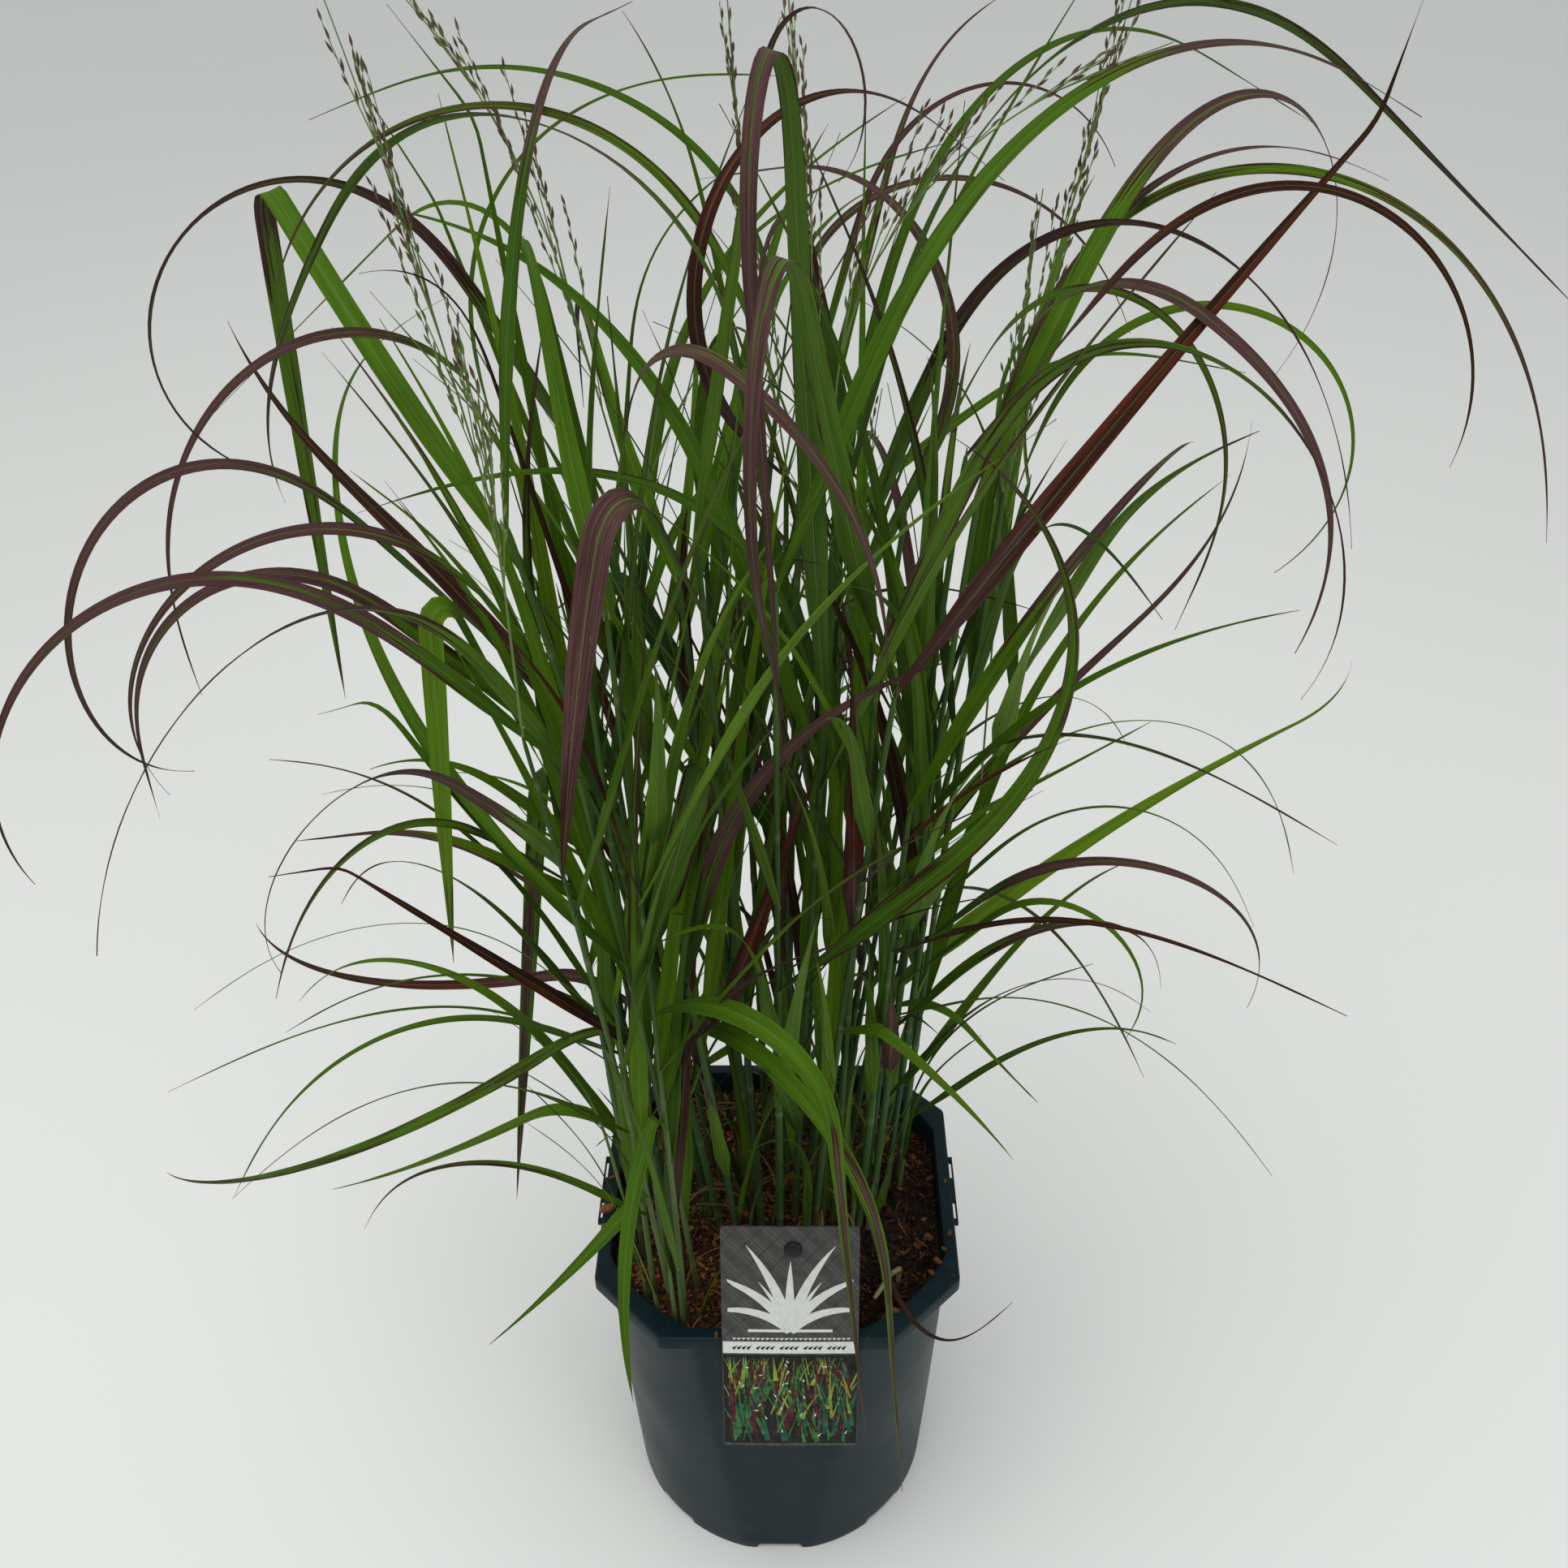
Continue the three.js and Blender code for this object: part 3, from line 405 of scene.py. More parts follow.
def leaf_material():
    """Spot holds the distance along the blade, the place across it (-1 to 1) and the leaf's own
    number. Tint holds the share of purple, dryness, brightness of the green, and 1 on the upper face."""
    g = Graph("leaf_blade", roughness=0.55, specular=0.06)
    spot = g.spot()
    along, across, _ = spot
    tint = g.attribute("tint")
    purple, dry, bright = g.parts(tint["Vector"])
    streaks = g.fibres(spot, 0.016, 1.9, 3.0)
    lines = g.fibres(spot, 0.03, 9.0, 2.0)
    blush = g.fibres(spot, 0.009, 0.8, 2.0)
    flecks = g.fibres(spot, 0.22, 13.0, 1.0)
    grain = g.step(lines, 0.3, 0.7)
    vein = g.math("SINE", g.times(across, 34.0))
    midrib = g.step(g.math("ABSOLUTE", across), 0.025, 0.075, 1.0, 0.0)

    dark_green, mid_green, bright_green = (0.019, 0.054, 0.008), (0.07, 0.154, 0.005), (0.19, 0.325, 0.01)
    underside, painted_shadow_green = (0.13, 0.225, 0.036), (0.011, 0.037, 0.006)
    green = g.mix(g.step(bright, 0.0, 0.5), dark_green, mid_green)
    green = g.mix(g.step(bright, 0.5, 1.0), green, bright_green)
    green = g.mix(tint["Alpha"], g.mix(0.35, green, underside), green)
    # painted shadow: darker green streaks drawn out along the blade
    green = g.mix(g.step(streaks, 0.35, 0.75, 0.0, 0.4), green, painted_shadow_green)

    # purple turns from a deep red through wine to a deep red again where there is most of it
    wine = g.mix(grain, (0.05, 0.019, 0.021), (0.104, 0.05, 0.05))
    deep = g.mix(grain, (0.017, 0.0055, 0.005), (0.052, 0.014, 0.009))
    wine = g.mix(g.step(purple, 0.42, 0.66), deep, wine)
    deep = g.mix(g.step(blush, 0.5, 0.68, 0.0, 0.75), deep, (0.12, 0.024, 0.013))
    wine = g.mix(g.step(g.total(purple, g.swing(streaks, -0.9)), 0.86, 1.1), wine, deep)
    spread = g.total(purple, g.swing(streaks, 1.3), g.swing(lines, 0.8))
    colour = g.mix(g.step(spread, 0.45, 0.55), green, wine)

    tan = g.mix(grain, (0.15, 0.075, 0.026), (0.32, 0.19, 0.085))
    colour = g.mix(g.step(g.total(dry, g.swing(lines, 0.8)), 0.45, 0.7), colour, tan)
    colour = g.mix(g.times(midrib, 0.3), colour, (0.22, 0.3, 0.09))
    colour = g.mix(g.step(vein, -0.2, 1.0, 0.0, 0.32), colour, (0.008, 0.02, 0.003))
    colour = g.mix(g.step(flecks, 0.73, 0.78, 0.0, 0.45), colour, (0.25, 0.24, 0.13))
    collar = g.step(along, 1.0, 5.0, 0.65, 0.0)
    g.colour(g.mix(collar, colour, (0.17, 0.22, 0.09)))
    g.bump(g.total(g.times(vein, 0.5), g.times(lines, 0.8), g.times(midrib, 1.2)), 0.00022, 0.6)
    g.rough(g.step(streaks, 0.2, 0.8, 0.5, 0.66))
    return g.material


def culm_material():
    """Spot holds the height, the place round the culm and the stem's own number; tint holds
    the ring at a joint, the sheath's share, purple, and how pale the culm is."""
    g = Graph("culm", roughness=0.5, specular=0.12)
    spot = g.spot()
    height, around, _ = spot
    tint = g.attribute("tint")
    ring, sheath, purple = g.parts(tint["Vector"])
    streaks = g.fibres(spot, 0.02, 3.0, 3.0)
    grain = g.step(streaks, 0.3, 0.7)
    green = g.mix(grain, (0.022, 0.056, 0.009), (0.052, 0.1, 0.02))
    bloom = g.mix(grain, (0.024, 0.06, 0.029), (0.054, 0.104, 0.05))
    fresh = g.mix(grain, (0.085, 0.125, 0.036), (0.15, 0.2, 0.07))
    low = g.step(height, 60.0, 230.0, 1.0, 0.0)
    foot = g.step(height, 0.0, 24.0, 0.7, 0.0)
    colour = g.mix(g.times(low, 0.8), green, bloom)
    colour = g.mix(g.times(sheath, 0.45), colour, (0.065, 0.135, 0.024))
    colour = g.mix(tint["Alpha"], colour, fresh)
    spread = g.total(purple, g.math("SUBTRACT", streaks, 0.5))
    colour = g.mix(g.step(spread, 0.4, 0.75), colour, (0.06, 0.024, 0.026))
    colour = g.mix(g.times(ring, 0.6), colour, (0.17, 0.18, 0.08))
    g.colour(g.mix(foot, colour, (0.12, 0.1, 0.05)))
    stripes = g.math("SINE", g.times(around, 18.0))
    g.bump(g.total(stripes, streaks), 0.00015, 0.5)
    return g.material


def panicle_material():
    """Tint holds the share of maroon and the brightness."""
    g = Graph("panicle", roughness=0.6, specular=0.2)
    maroon, bright, _ = g.parts(g.attribute("tint")["Vector"])
    grain = g.noise(g.place(), 900.0, 2.0)
    green = g.mix(bright, (0.07, 0.13, 0.025), (0.18, 0.25, 0.08))
    red = g.mix(grain, (0.035, 0.013, 0.013), (0.11, 0.055, 0.042))
    g.colour(g.mix(g.step(maroon, 0.2, 0.8), green, red))
    g.bump(grain, 0.0002, 0.4)
    return g.material


def straw_material():
    """Tint's first number is how dark a joint is, or the painted shade in the hollow of the cut."""
    g = Graph("dry_straw", roughness=0.65, specular=0.2)
    streaks = g.fibres(g.spot(), 0.05, 3.0, 3.0)
    ring = g.parts(g.attribute("tint")["Vector"])[0]
    colour = g.mix(g.step(streaks, 0.3, 0.7), (0.16, 0.13, 0.055), (0.34, 0.28, 0.14))
    g.colour(g.mix(ring, colour, (0.1, 0.07, 0.03)))
    g.bump(streaks, 0.0003, 0.5)
    return g.material


def pot_material():
    """Dark blue-grey plastic, dusty in patches, with specks of mix near the rim."""
    g = Graph("pot_plastic", roughness=0.4, specular=0.1)
    at = g.place()
    broad = g.noise(at, 14.0, 3.0)
    fine = g.noise(at, 1600.0, 2.0)
    dusty = g.times(g.step(g.noise(at, 60.0, 4.0), 0.5, 0.75), 0.22)
    specks = g.step(g.noise(at, 240.0, 2.0), 0.7, 0.74)
    near_rim = g.step(g.parts(at)[2], 0.14, 0.2, 0.0, 1.0)
    colour = g.mix(g.step(broad, 0.3, 0.7), (0.0045, 0.0135, 0.0175), (0.0085, 0.0195, 0.0235))
    colour = g.mix(dusty, colour, (0.034, 0.042, 0.041))
    g.colour(g.mix(g.times(specks, near_rim), colour, (0.05, 0.028, 0.015)))
    g.rough(g.step(broad, 0.2, 0.8, 0.3, 0.46))
    g.bump(g.total(fine, g.times(broad, 2.0)), 0.00012, 0.35)
    return g.material


def soil_material():
    """Brown mix in crumbs, darker in damp patches, with painted shade at the front right."""
    g = Graph("potting_mix", roughness=0.85, specular=0.25)
    at = g.place()
    crumb = g.noise(at, 420.0, 4.0)
    darkening = g.noise(at, 22.0, 2.0)
    colour = g.mix(g.step(crumb, 0.35, 0.7), (0.008, 0.004, 0.003), (0.09, 0.036, 0.013))
    colour = g.mix(g.step(darkening, 0.4, 0.65, 0.0, 0.6), colour, (0.008, 0.005, 0.004))
    x, y, _ = g.parts(at)
    # painted shade: the mix is made near black towards the front right
    painted_shade = g.step(g.math("SUBTRACT", x, g.times(y, 0.8)), 0.01, 0.06, 0.0, 0.85)
    g.colour(g.mix(painted_shade, colour, (0.004, 0.0025, 0.0018)))
    g.bump(crumb, 0.0015, 1.0)
    return g.material


def chip_material():
    """Tint holds each chip's own tone and how far it is darkened: a little at random, and with painted shade
    at the front right.
    """
    g = Graph("bark_chips", roughness=0.8, specular=0.2)
    tone, darkening, _ = g.parts(g.attribute("tint")["Vector"])
    grain = g.noise(g.place(), 700.0, 3.0)
    dark = g.mix(grain, (0.02, 0.008, 0.004), (0.11, 0.04, 0.014))
    warm = g.mix(grain, (0.2, 0.072, 0.02), (0.4, 0.17, 0.055))
    colour = g.mix(g.step(tone, 0.3, 0.8), dark, warm)
    colour = g.mix(g.step(tone, 0.88, 1.0), colour, (0.34, 0.19, 0.085))
    # darkened towards near black: a little at random, and with painted shade at the front right
    g.colour(g.mix(g.times(darkening, 0.95), colour, (0.005, 0.0025, 0.0015)))
    g.bump(grain, 0.0006, 0.8)
    return g.material


def card_material():
    """The dark upper part of the card has a quilted tone of diamonds. Spot holds the place on
    the card: right, lift and up, from the middle of its top edge."""
    g = Graph("card_print", roughness=0.42, specular=0.2)
    right, _, up = g.spot()
    across, down = g.times(right, 0.25), g.times(up, 0.225)
    one = g.math("ABSOLUTE", g.math("SINE", g.math("ADD", across, down)))
    two = g.math("ABSOLUTE", g.math("SINE", g.math("SUBTRACT", across, down)))
    seam = g.math("MINIMUM", one, two)
    tone = g.mix(g.step(one, 0.0, 1.0), (0.078, 0.075, 0.072), (0.046, 0.0445, 0.043))
    tone = g.mix(g.step(seam, 0.0, 0.16, 0.9, 0.0), tone, (0.02, 0.0195, 0.019))
    grain = g.noise(g.place(), 260.0, 2.0)
    tone = g.mix(g.step(grain, 0.4, 0.7, 0.0, 0.2), tone, (0.12, 0.118, 0.113))
    g.colour(tone)
    g.bump(grain, 0.00008, 0.3)
    return g.material


def ink(name, colour, other):
    """A printed colour with a little unevenness."""
    g = Graph(name, roughness=0.42, specular=0.16)
    g.colour(g.mix(g.step(g.noise(g.place(), 320.0, 3.0), 0.35, 0.7), colour, other))
    return g.material


def black_plastic():
    g = Graph("stake_plastic", roughness=0.35, specular=0.2)
    grain = g.noise(g.place(), 900.0, 2.0)
    g.colour(g.mix(grain, (0.006, 0.006, 0.007), (0.012, 0.012, 0.013)))
    g.bump(grain, 0.0001, 0.3)
    return g.material


def floor_material():
    g = Graph("pale_floor", roughness=0.55, specular=0.3)
    broad = g.noise(g.place(), 1.3, 2.0)
    g.colour(g.mix(broad, (0.77, 0.778, 0.765), (0.805, 0.81, 0.8)))
    return g.material


LEAF = leaf_material()
CULM = culm_material()
PANICLE = panicle_material()
STRAW = straw_material()
# Which of a piece's materials a face of a culm or panicle has; a blade has the first.
AS_CULM, AS_PANICLE = 1, 2


# ---- meshes ----

class Piece:
    """Gathers points and faces, in millimetres, and makes one Blender object of them."""

    def __init__(self):
        self.points = []
        self.faces = []
        self.spots = []
        self.tints = []
        self.kinds = []

    def add(self, points, faces, spots=None, tints=None, kind=0):
        start = len(self.points)
        self.points += points
        self.spots += spots or [(0.0, 0.0, 0.0)] * len(points)
        self.tints += tints or [(0.0, 0.0, 0.0, 1.0)] * len(points)
        self.faces += [tuple(start + i for i in face) for face in faces]
        self.kinds += [kind] * len(faces)

    def make(self, name, materials, slot, node=None, sharp=40):
        mesh = bpy.data.meshes.new(name)
        mesh.from_pydata([Vector(p) * MM for p in self.points], [], self.faces)
        spot = mesh.attributes.new("spot", "FLOAT_VECTOR", "POINT")
        spot.data.foreach_set("vector", [v for s in self.spots for v in s])
        tint = mesh.attributes.new("tint", "FLOAT_COLOR", "POINT")
        tint.data.foreach_set("color", [v for t in self.tints for v in t])
        for material in materials:
            mesh.materials.append(material)
        mesh.polygons.foreach_set("material_index", self.kinds)
        mesh.polygons.foreach_set("use_smooth", [True] * len(self.faces))
        mesh.set_sharp_from_angle(angle=math.radians(sharp))
        mesh.update()
        made = bpy.data.objects.new(name, mesh)
        bpy.context.scene.collection.objects.link(made)
        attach(made, "root")
        if node:
            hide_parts(node)


def skin(rings, sides):
    """Faces between rings of points, numbered in order, with flat ends."""
    faces = []
    for i in range(rings - 1):
        for k in range(sides):
            a, b = i * sides + k, i * sides + (k + 1) % sides
            faces.append((a, b, b + sides, a + sides))
    last = (rings - 1) * sides
    return faces + [tuple(range(sides - 1, -1, -1)), tuple(range(last, last + sides))]


def turned(columns, first, last, reverse=False):
    """Points and faces of a closed skin: columns that stand round an axis, from one pole to the other."""
    sides, count = len(columns), len(columns[0])
    points = [point for column in columns for point in column] + [first, last]
    starts = [(k * count, (k + 1) % sides * count) for k in range(sides)]
    faces = [(a + i, b + i, b + i + 1, a + i + 1) for a, b in starts for i in range(count - 1)]
    pole = sides * count
    for a, b in starts:
        faces += [(pole, b, a), (pole + 1, a + count - 1, b + count - 1)]
    if reverse:
        faces = [(face[0], *reversed(face[1:])) for face in faces]
    return points, faces


def circle(middle, right, front, radius, sides):
    return [
        middle + right * (math.cos(turn) * radius) + front * (math.sin(turn) * radius)
        for turn in turns(sides)
    ]


def tube(piece, path, radii, sides, kind, own, tints, marks=None, backward=Vector((0, 1, 0))):
    """A round stalk along a path, with a radius and a tint for each ring. A spot holds the ring's
    mark, or its number, then the place round the stalk and the stalk's own number."""
    points, spots = [], []
    for i, point in enumerate(path):
        along = (path[min(i + 1, len(path) - 1)] - path[max(i - 1, 0)]).normalized()
        right = backward.cross(along).normalized()
        points += circle(point, right, along.cross(right), radii[i], sides)
        spots += [(marks[i] if marks else i, turn, own) for turn in turns(sides)]
    tints = [tint for tint in tints for _ in range(sides)]
    piece.add(points, skin(len(path), sides), spots, tints, kind)


# ---- stems ----

def stem_direction(number):
    """A stem's heading, and its slope away from upright."""
    x, y, upright = STEMS[number][:3]
    most = FRONT_TUFT_LEAN if number < FRONT_TUFT_STEMS else MOST_LEAN
    lean = (UPRIGHT_SHARE if upright else 1) * min(LEAN_PER_MM * math.hypot(x, y), most)
    return math.atan2(y, x), math.tan(math.radians(lean))


def stem_point(number, height):
    x, y = STEMS[number][:2]
    angle, slope = stem_direction(number)
    out = height * slope * (1 + STEM_BOW * height / BOW_HEIGHT)
    return Vector((x + out * math.cos(angle), y + out * math.sin(angle), SOIL_LEVEL + height))


def stem_radius(number, height, top):
    foot = FRONT_TUFT_RADIUS if number < FRONT_TUFT_STEMS else STEM_RADIUS
    return foot + (STEM_TIP_RADIUS - foot) * max(height, 0) / max(top, SHORTEST_TAPER)


# ---- the middle line of a leaf or panicle ----

class Line:
    """A curve in equal steps, with its way and its heading at each one."""

    def __init__(self, start, row):
        _, azimuth, length, lean0, lean1, low, high, turn = row[:8]
        self.points = [start.copy()]
        self.ways = []
        self.headings = []
        for i in range(CURVE_STEPS + 1):
            u = i / CURVE_STEPS
            lean = math.radians(lean0 + (lean1 - lean0) * ease(u, low, high))
            heading = math.radians(azimuth + turn * u)
            self.headings.append(heading)
            flat = math.sin(lean)
            way = Vector((flat * math.cos(heading), flat * math.sin(heading), math.cos(lean)))
            self.ways.append(way)
            if i:
                step = (self.ways[i - 1] + self.ways[i]) * (0.5 * length / CURVE_STEPS)
                self.points.append(self.points[-1] + step)

    def at(self, place):
        """The point, the way and the heading at a step or halfway between two steps."""
        i = int(place)
        if place == i:
            return self.points[i], self.ways[i], self.headings[i]
        a, b, before, after = self.points[i], self.points[i + 1], self.ways[i], self.ways[i + 1]
        point = (a + b) / 2 + (before - after) * ((b - a).length / 8)
        return point, (before + after).normalized(), (self.headings[i] + self.headings[i + 1]) / 2


def blade_profile(u, row):
    """A blade tapers to a long fine tip; one that folds over sharply stays broad to the fold."""
    lean0, lean1, low, high = row[3:7]
    folded = high - low < 0.165 and abs(lean1 - lean0) > 88
    widest, power = (low, 2.2) if folded else (0.2, 0.8)
    return min(0.35 + 4 * u, 1) * (1 - max((u - widest) / (1 - widest), 0) ** power)


def blade_axes(line, place, twist):
    """The directions across a blade and out of its upper face."""
    _, along, heading = line.at(place)
    across = Vector((-math.sin(heading), math.cos(heading), 0))
    face = along.cross(across)
    roll = math.radians(twist * ease(place / CURVE_STEPS, 0, 0.5))
    side = across * math.cos(roll) + face * math.sin(roll)
    return side, along.cross(side)


def nudges():
    """The changes of azimuth, lean and height that the part tries, in its order, to keep leaves clear."""
    yield 0, 0, 0
    for ring in range(1, 13):
        turn, lean, lift = 1.5 * ring, ring, 3 * ring
        yield from ((turn, 0, 0), (-turn, 0, 0), (0, lean, 0), (0, -lean, 0))
        yield from ((turn, lean, 0), (-turn, lean, 0), (turn, -lean, 0), (-turn, -lean, 0))
        yield from ((0, 0, lift), (0, 0, -lift))


def nudged(row, nudge, highest):
    turn, lean, lift = nudge
    height = min(max(row[0] + lift, LOWEST_LEAF), highest)
    return (height, row[1] + turn, row[2], row[3] + lean, row[4] + lean, *row[5:])


def solid_points(name):
    """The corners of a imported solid, for finding which place each leaf took there."""
    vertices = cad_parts[name].data.vertices
    tree = kdtree.KDTree(len(vertices))
    for vertex in vertices:
        tree.insert(vertex.co / MM, vertex.index)
    tree.balance()
    return tree


def grown(number, row, highest, tree, fits):
    """The place that the solid gives a leaf or panicle, or None where it was left out."""
    for nudge in nudges():
        moved = nudged(row, nudge, highest)
        line = Line(stem_point(number, moved[0]), moved)
        if fits(tree, line, moved):
            return moved, line
    return None


def blade_fits(tree, line, row):
    """Whether a corner of the solid is where the blade's tip has one."""
    side, normal = blade_axes(line, CURVE_STEPS, row[9])
    tip = line.points[-1]
    half, thin = TIP_WIDTH / 2, BLADE_THICKNESS / 2
    corners = [tip + side * (s * half) + normal * (t * thin) for s in (1, -1) for t in (1, -1)]
    return any(tree.find(corner)[2] < BLADE_MATCH for corner in corners)


def panicle_fits(tree, line, row):
    """Whether the solid's last ring stands round the axis's end."""
    return abs(tree.find(line.points[-1])[2] - PANICLE_TIP) < PANICLE_MATCH


# ---- leaves ----

# How bright the green of each tint is, and how far one leaf's differs from another's.
GREENS = {
    "g": 0.55, "d": 0.2, "p": 0.4, "m": 0.25, "s": 0.5, "o": 0.35, "b": 0.58, "e": 0.48, "f": 0.4,
    "h": 0.28, "k": 0.36, "w": 0.3,
}
GREEN_RANGE = 0.42
ACROSS = (-1.0, -0.55, -0.06, 0.06, 0.55, 1.0)


def blade_tint(code, u, s, top, crest):
    """Share of purple and dryness at a spot of a blade: u is its place along the blade, s across it,
    and crest is where along it the blade bends over."""
    edge = s * s
    tip = ease(u, 0.82, 1.0)
    out = ease(u, 0.05, 0.4)
    far = ease(u, 0.3, 0.9)
    middle = (1 - abs(s)) ** 2
    dry = 0.15 * tip
    if code == "w":
        return 0.2, 0.75
    if code == "g":
        purple = 0.06 + 0.2 * edge * far + 0.5 * tip
        dry = 0.5 * tip
    elif code == "d":
        purple = 0.14 + 0.3 * edge * out + 0.5 * tip
    elif code == "p" and top:
        purple = 0.2 + 0.62 * out - 0.3 * middle * (1 - far)
    elif code == "p":
        purple = 0.1 + 0.35 * edge * out + 0.5 * far
    elif code == "m":
        purple = 0.86 + 0.29 * out - 0.15 * middle * (1 - out)
    elif code == "s":
        purple = 0.22 + 0.34 * edge + 0.25 * far - 0.1 * middle + 0.3 * tip
        dry = 0.5 * tip
    elif code == "b":
        band = math.exp(-((s - 0.1) / 0.75) ** 2) * ease(u, 0.3, 0.52)
        purple = 0.04 + 0.9 * band + 0.3 * ease(u, 0.7, 1.0)
        dry = 0.15 * tip + 0.42 * ease(u, 0.45, 0.9)
    elif code in "ef":
        begins = 0.2 if code == "f" else 0.45
        purple = mixed(0.12 + 0.25 * edge, 0.8 - 0.2 * middle, ease(u, begins, begins + 0.28)) + 0.25 * tip
    elif code == "h":
        purple = mixed(0.3 + 0.35 * edge, 0.8, ease(u, crest - 0.08, crest + 0.06)) + 0.3 * tip
    elif code == "k":
        over = ease(u, crest - 0.03, crest + 0.02)
        fades = ease(u, crest + 0.02, crest + 0.16)
        purple = mixed(0.04, 0.6 - 0.34 * fades, over) + 0.12 * edge * over + 0.3 * tip
    else:
        purple = 0.4 + 0.2 * far + 0.4 * tip
    return purple, dry


def blade(piece, line, row, code, own):
    """A thin blade with a keeled midrib, its base clasping the stem and its tip hair-fine."""
    length, width, twist = row[2], row[8], row[9]
    bright = GREENS[code] + GREEN_RANGE * (noise.random() - 0.5)
    crest = min(max((row[5] + row[6]) / 2, 0.2), 0.8)
    if length > FINE_LENGTH:
        places = [i / 2 for i in range(2 * CURVE_STEPS + 1)]
    else:
        places = [*range(CURVE_STEPS), CURVE_STEPS - 0.5, CURVE_STEPS]
    points, spots, tints = [], [], []
    for place in places:
        u = place / CURVE_STEPS
        point = line.at(place)[0]
        side, normal = blade_axes(line, place, twist)
        tip = ease(u, 0.9, 1.0)
        half = max(width * blade_profile(u, row), mixed(TIP_WIDTH, 0.24, tip)) / 2
        fold = mixed(0.42, 0.1, ease(u, 0.0, 0.12)) * half
        wave = 0.012 * width * math.sin(u * length * 0.11 + own)
        # the upper face from left to right, then the lower one back, in one ring of points
        for face in (1, -1):
            for s in ACROSS[::face]:
                thick = mixed(0.34, 0.13, abs(s)) * mixed(1.0, 0.55, tip)
                if face < 0 and abs(s) < 0.1:
                    thick += 0.22 * (1 - u)
                lift = -(1 - abs(s)) * fold + fold * 0.5 + face * thick / 2 + wave * s
                points.append(point + side * (s * half) + normal * lift)
                spots.append((u * length, s, own))
                tints.append((*blade_tint(code, u, s, face > 0, crest), bright, max(face, 0)))
    piece.add(points, skin(len(places), 2 * len(ACROSS)), spots, tints)


# ---- culms and sheaths ----

def culm(piece, number, top, leaf_heights, own, purple):
    """A jointed culm: faint rings at its joints, and a sheath wrapped below each leaf."""
    front_tuft = number < FRONT_TUFT_STEMS
    slimmer, pale = (0.62, 0.85) if front_tuft else (0.74, 0.0)
    buried, sheath_length, sheath_thickness = 34, 85, 0.28
    draw = sequence(CULM_SEED + 37 * number)
    joints = []
    height = 22 + 30 * draw()
    while height < top - 12:
        joints.append(height)
        height += 55 + 45 * draw() + 0.12 * height
    marks = {-float(buried), top - 9, top - 6, top - 3, top - 0.1}
    marks.update(joint + step for joint in joints for step in (-4, -1.6, 0, 1.6, 4))
    marks.update(leaf + step for leaf in leaf_heights for step in (-3, 0, 1.5))
    marks.update(float(h) for h in range(-30, math.ceil(top), 14))
    heights = sorted(h for h in marks if -buried <= h <= top)
    heights = [h for i, h in enumerate(heights) if i == 0 or h - heights[i - 1] > 0.5]
    radii, tints = [], []
    for h in heights:
        close = min([abs(h - joint) for joint in joints] or [99])
        radius = stem_radius(number, h, top) * slimmer
        radius *= (1 + 0.12 * max(0, 1 - close / 4)) * (1 - 0.8 * ease(h, top - 10, top + 1))
        wrapped = any(leaf - sheath_length < h <= leaf for leaf in leaf_heights)
        radii.append(radius + sheath_thickness * wrapped)
        tints.append((max(0, 1 - close / 2.4), float(wrapped), purple, pale * (1 - ease(h, 110, 260))))
    tube(piece, [stem_point(number, h) for h in heights], radii, 10, AS_CULM, own, tints, heights)


# ---- panicles ----

def spikelet(piece, at, way, length, red, own):
    """A small pointed spikelet, widest below its middle."""
    rings = [(0.0, 0.14), (0.18, 0.36), (0.42, 0.46), (0.7, 0.3), (0.9, 0.12), (1.0, 0.03)]
    path = [at + way * (share * length) for share, _ in rings]
    radii = [radius * length / 3.6 for _, radius in rings]
    tints = [(red * (0.5 + 0.2 * i), 0.8 - 0.1 * i, 0.0, 1.0) for i in range(len(rings))]
    tube(piece, path, radii, 6, AS_PANICLE, own, tints, backward=Vector((0.2, 0.97, 0.1)))


def panicle_branches(row, draw, extra):
    """Where each branch leaves the axis, which way it turns, how far it spreads and how long it is."""
    for k in range(PANICLE_BRANCHES):
        at = round(CURVE_STEPS * (0.4 + 0.5 * k / PANICLE_BRANCHES) + 1e-9)
        turn = k * 2.4 + draw()
        spread = math.radians(3.5 + 4.5 * draw())
        reach = (1 - 0.6 * k / PANICLE_BRANCHES) * (0.24 + 0.06 * draw()) * row[2]
        yield at, turn, spread, reach
        for _ in range(2):
            yield (
                min(at + int(4 * extra()), CURVE_STEPS - 2),
                turn + 1.4 + 3.2 * extra(),
                spread * (0.5 + 0.9 * extra()),
                reach * (0.55 + 0.35 * extra()),
            )


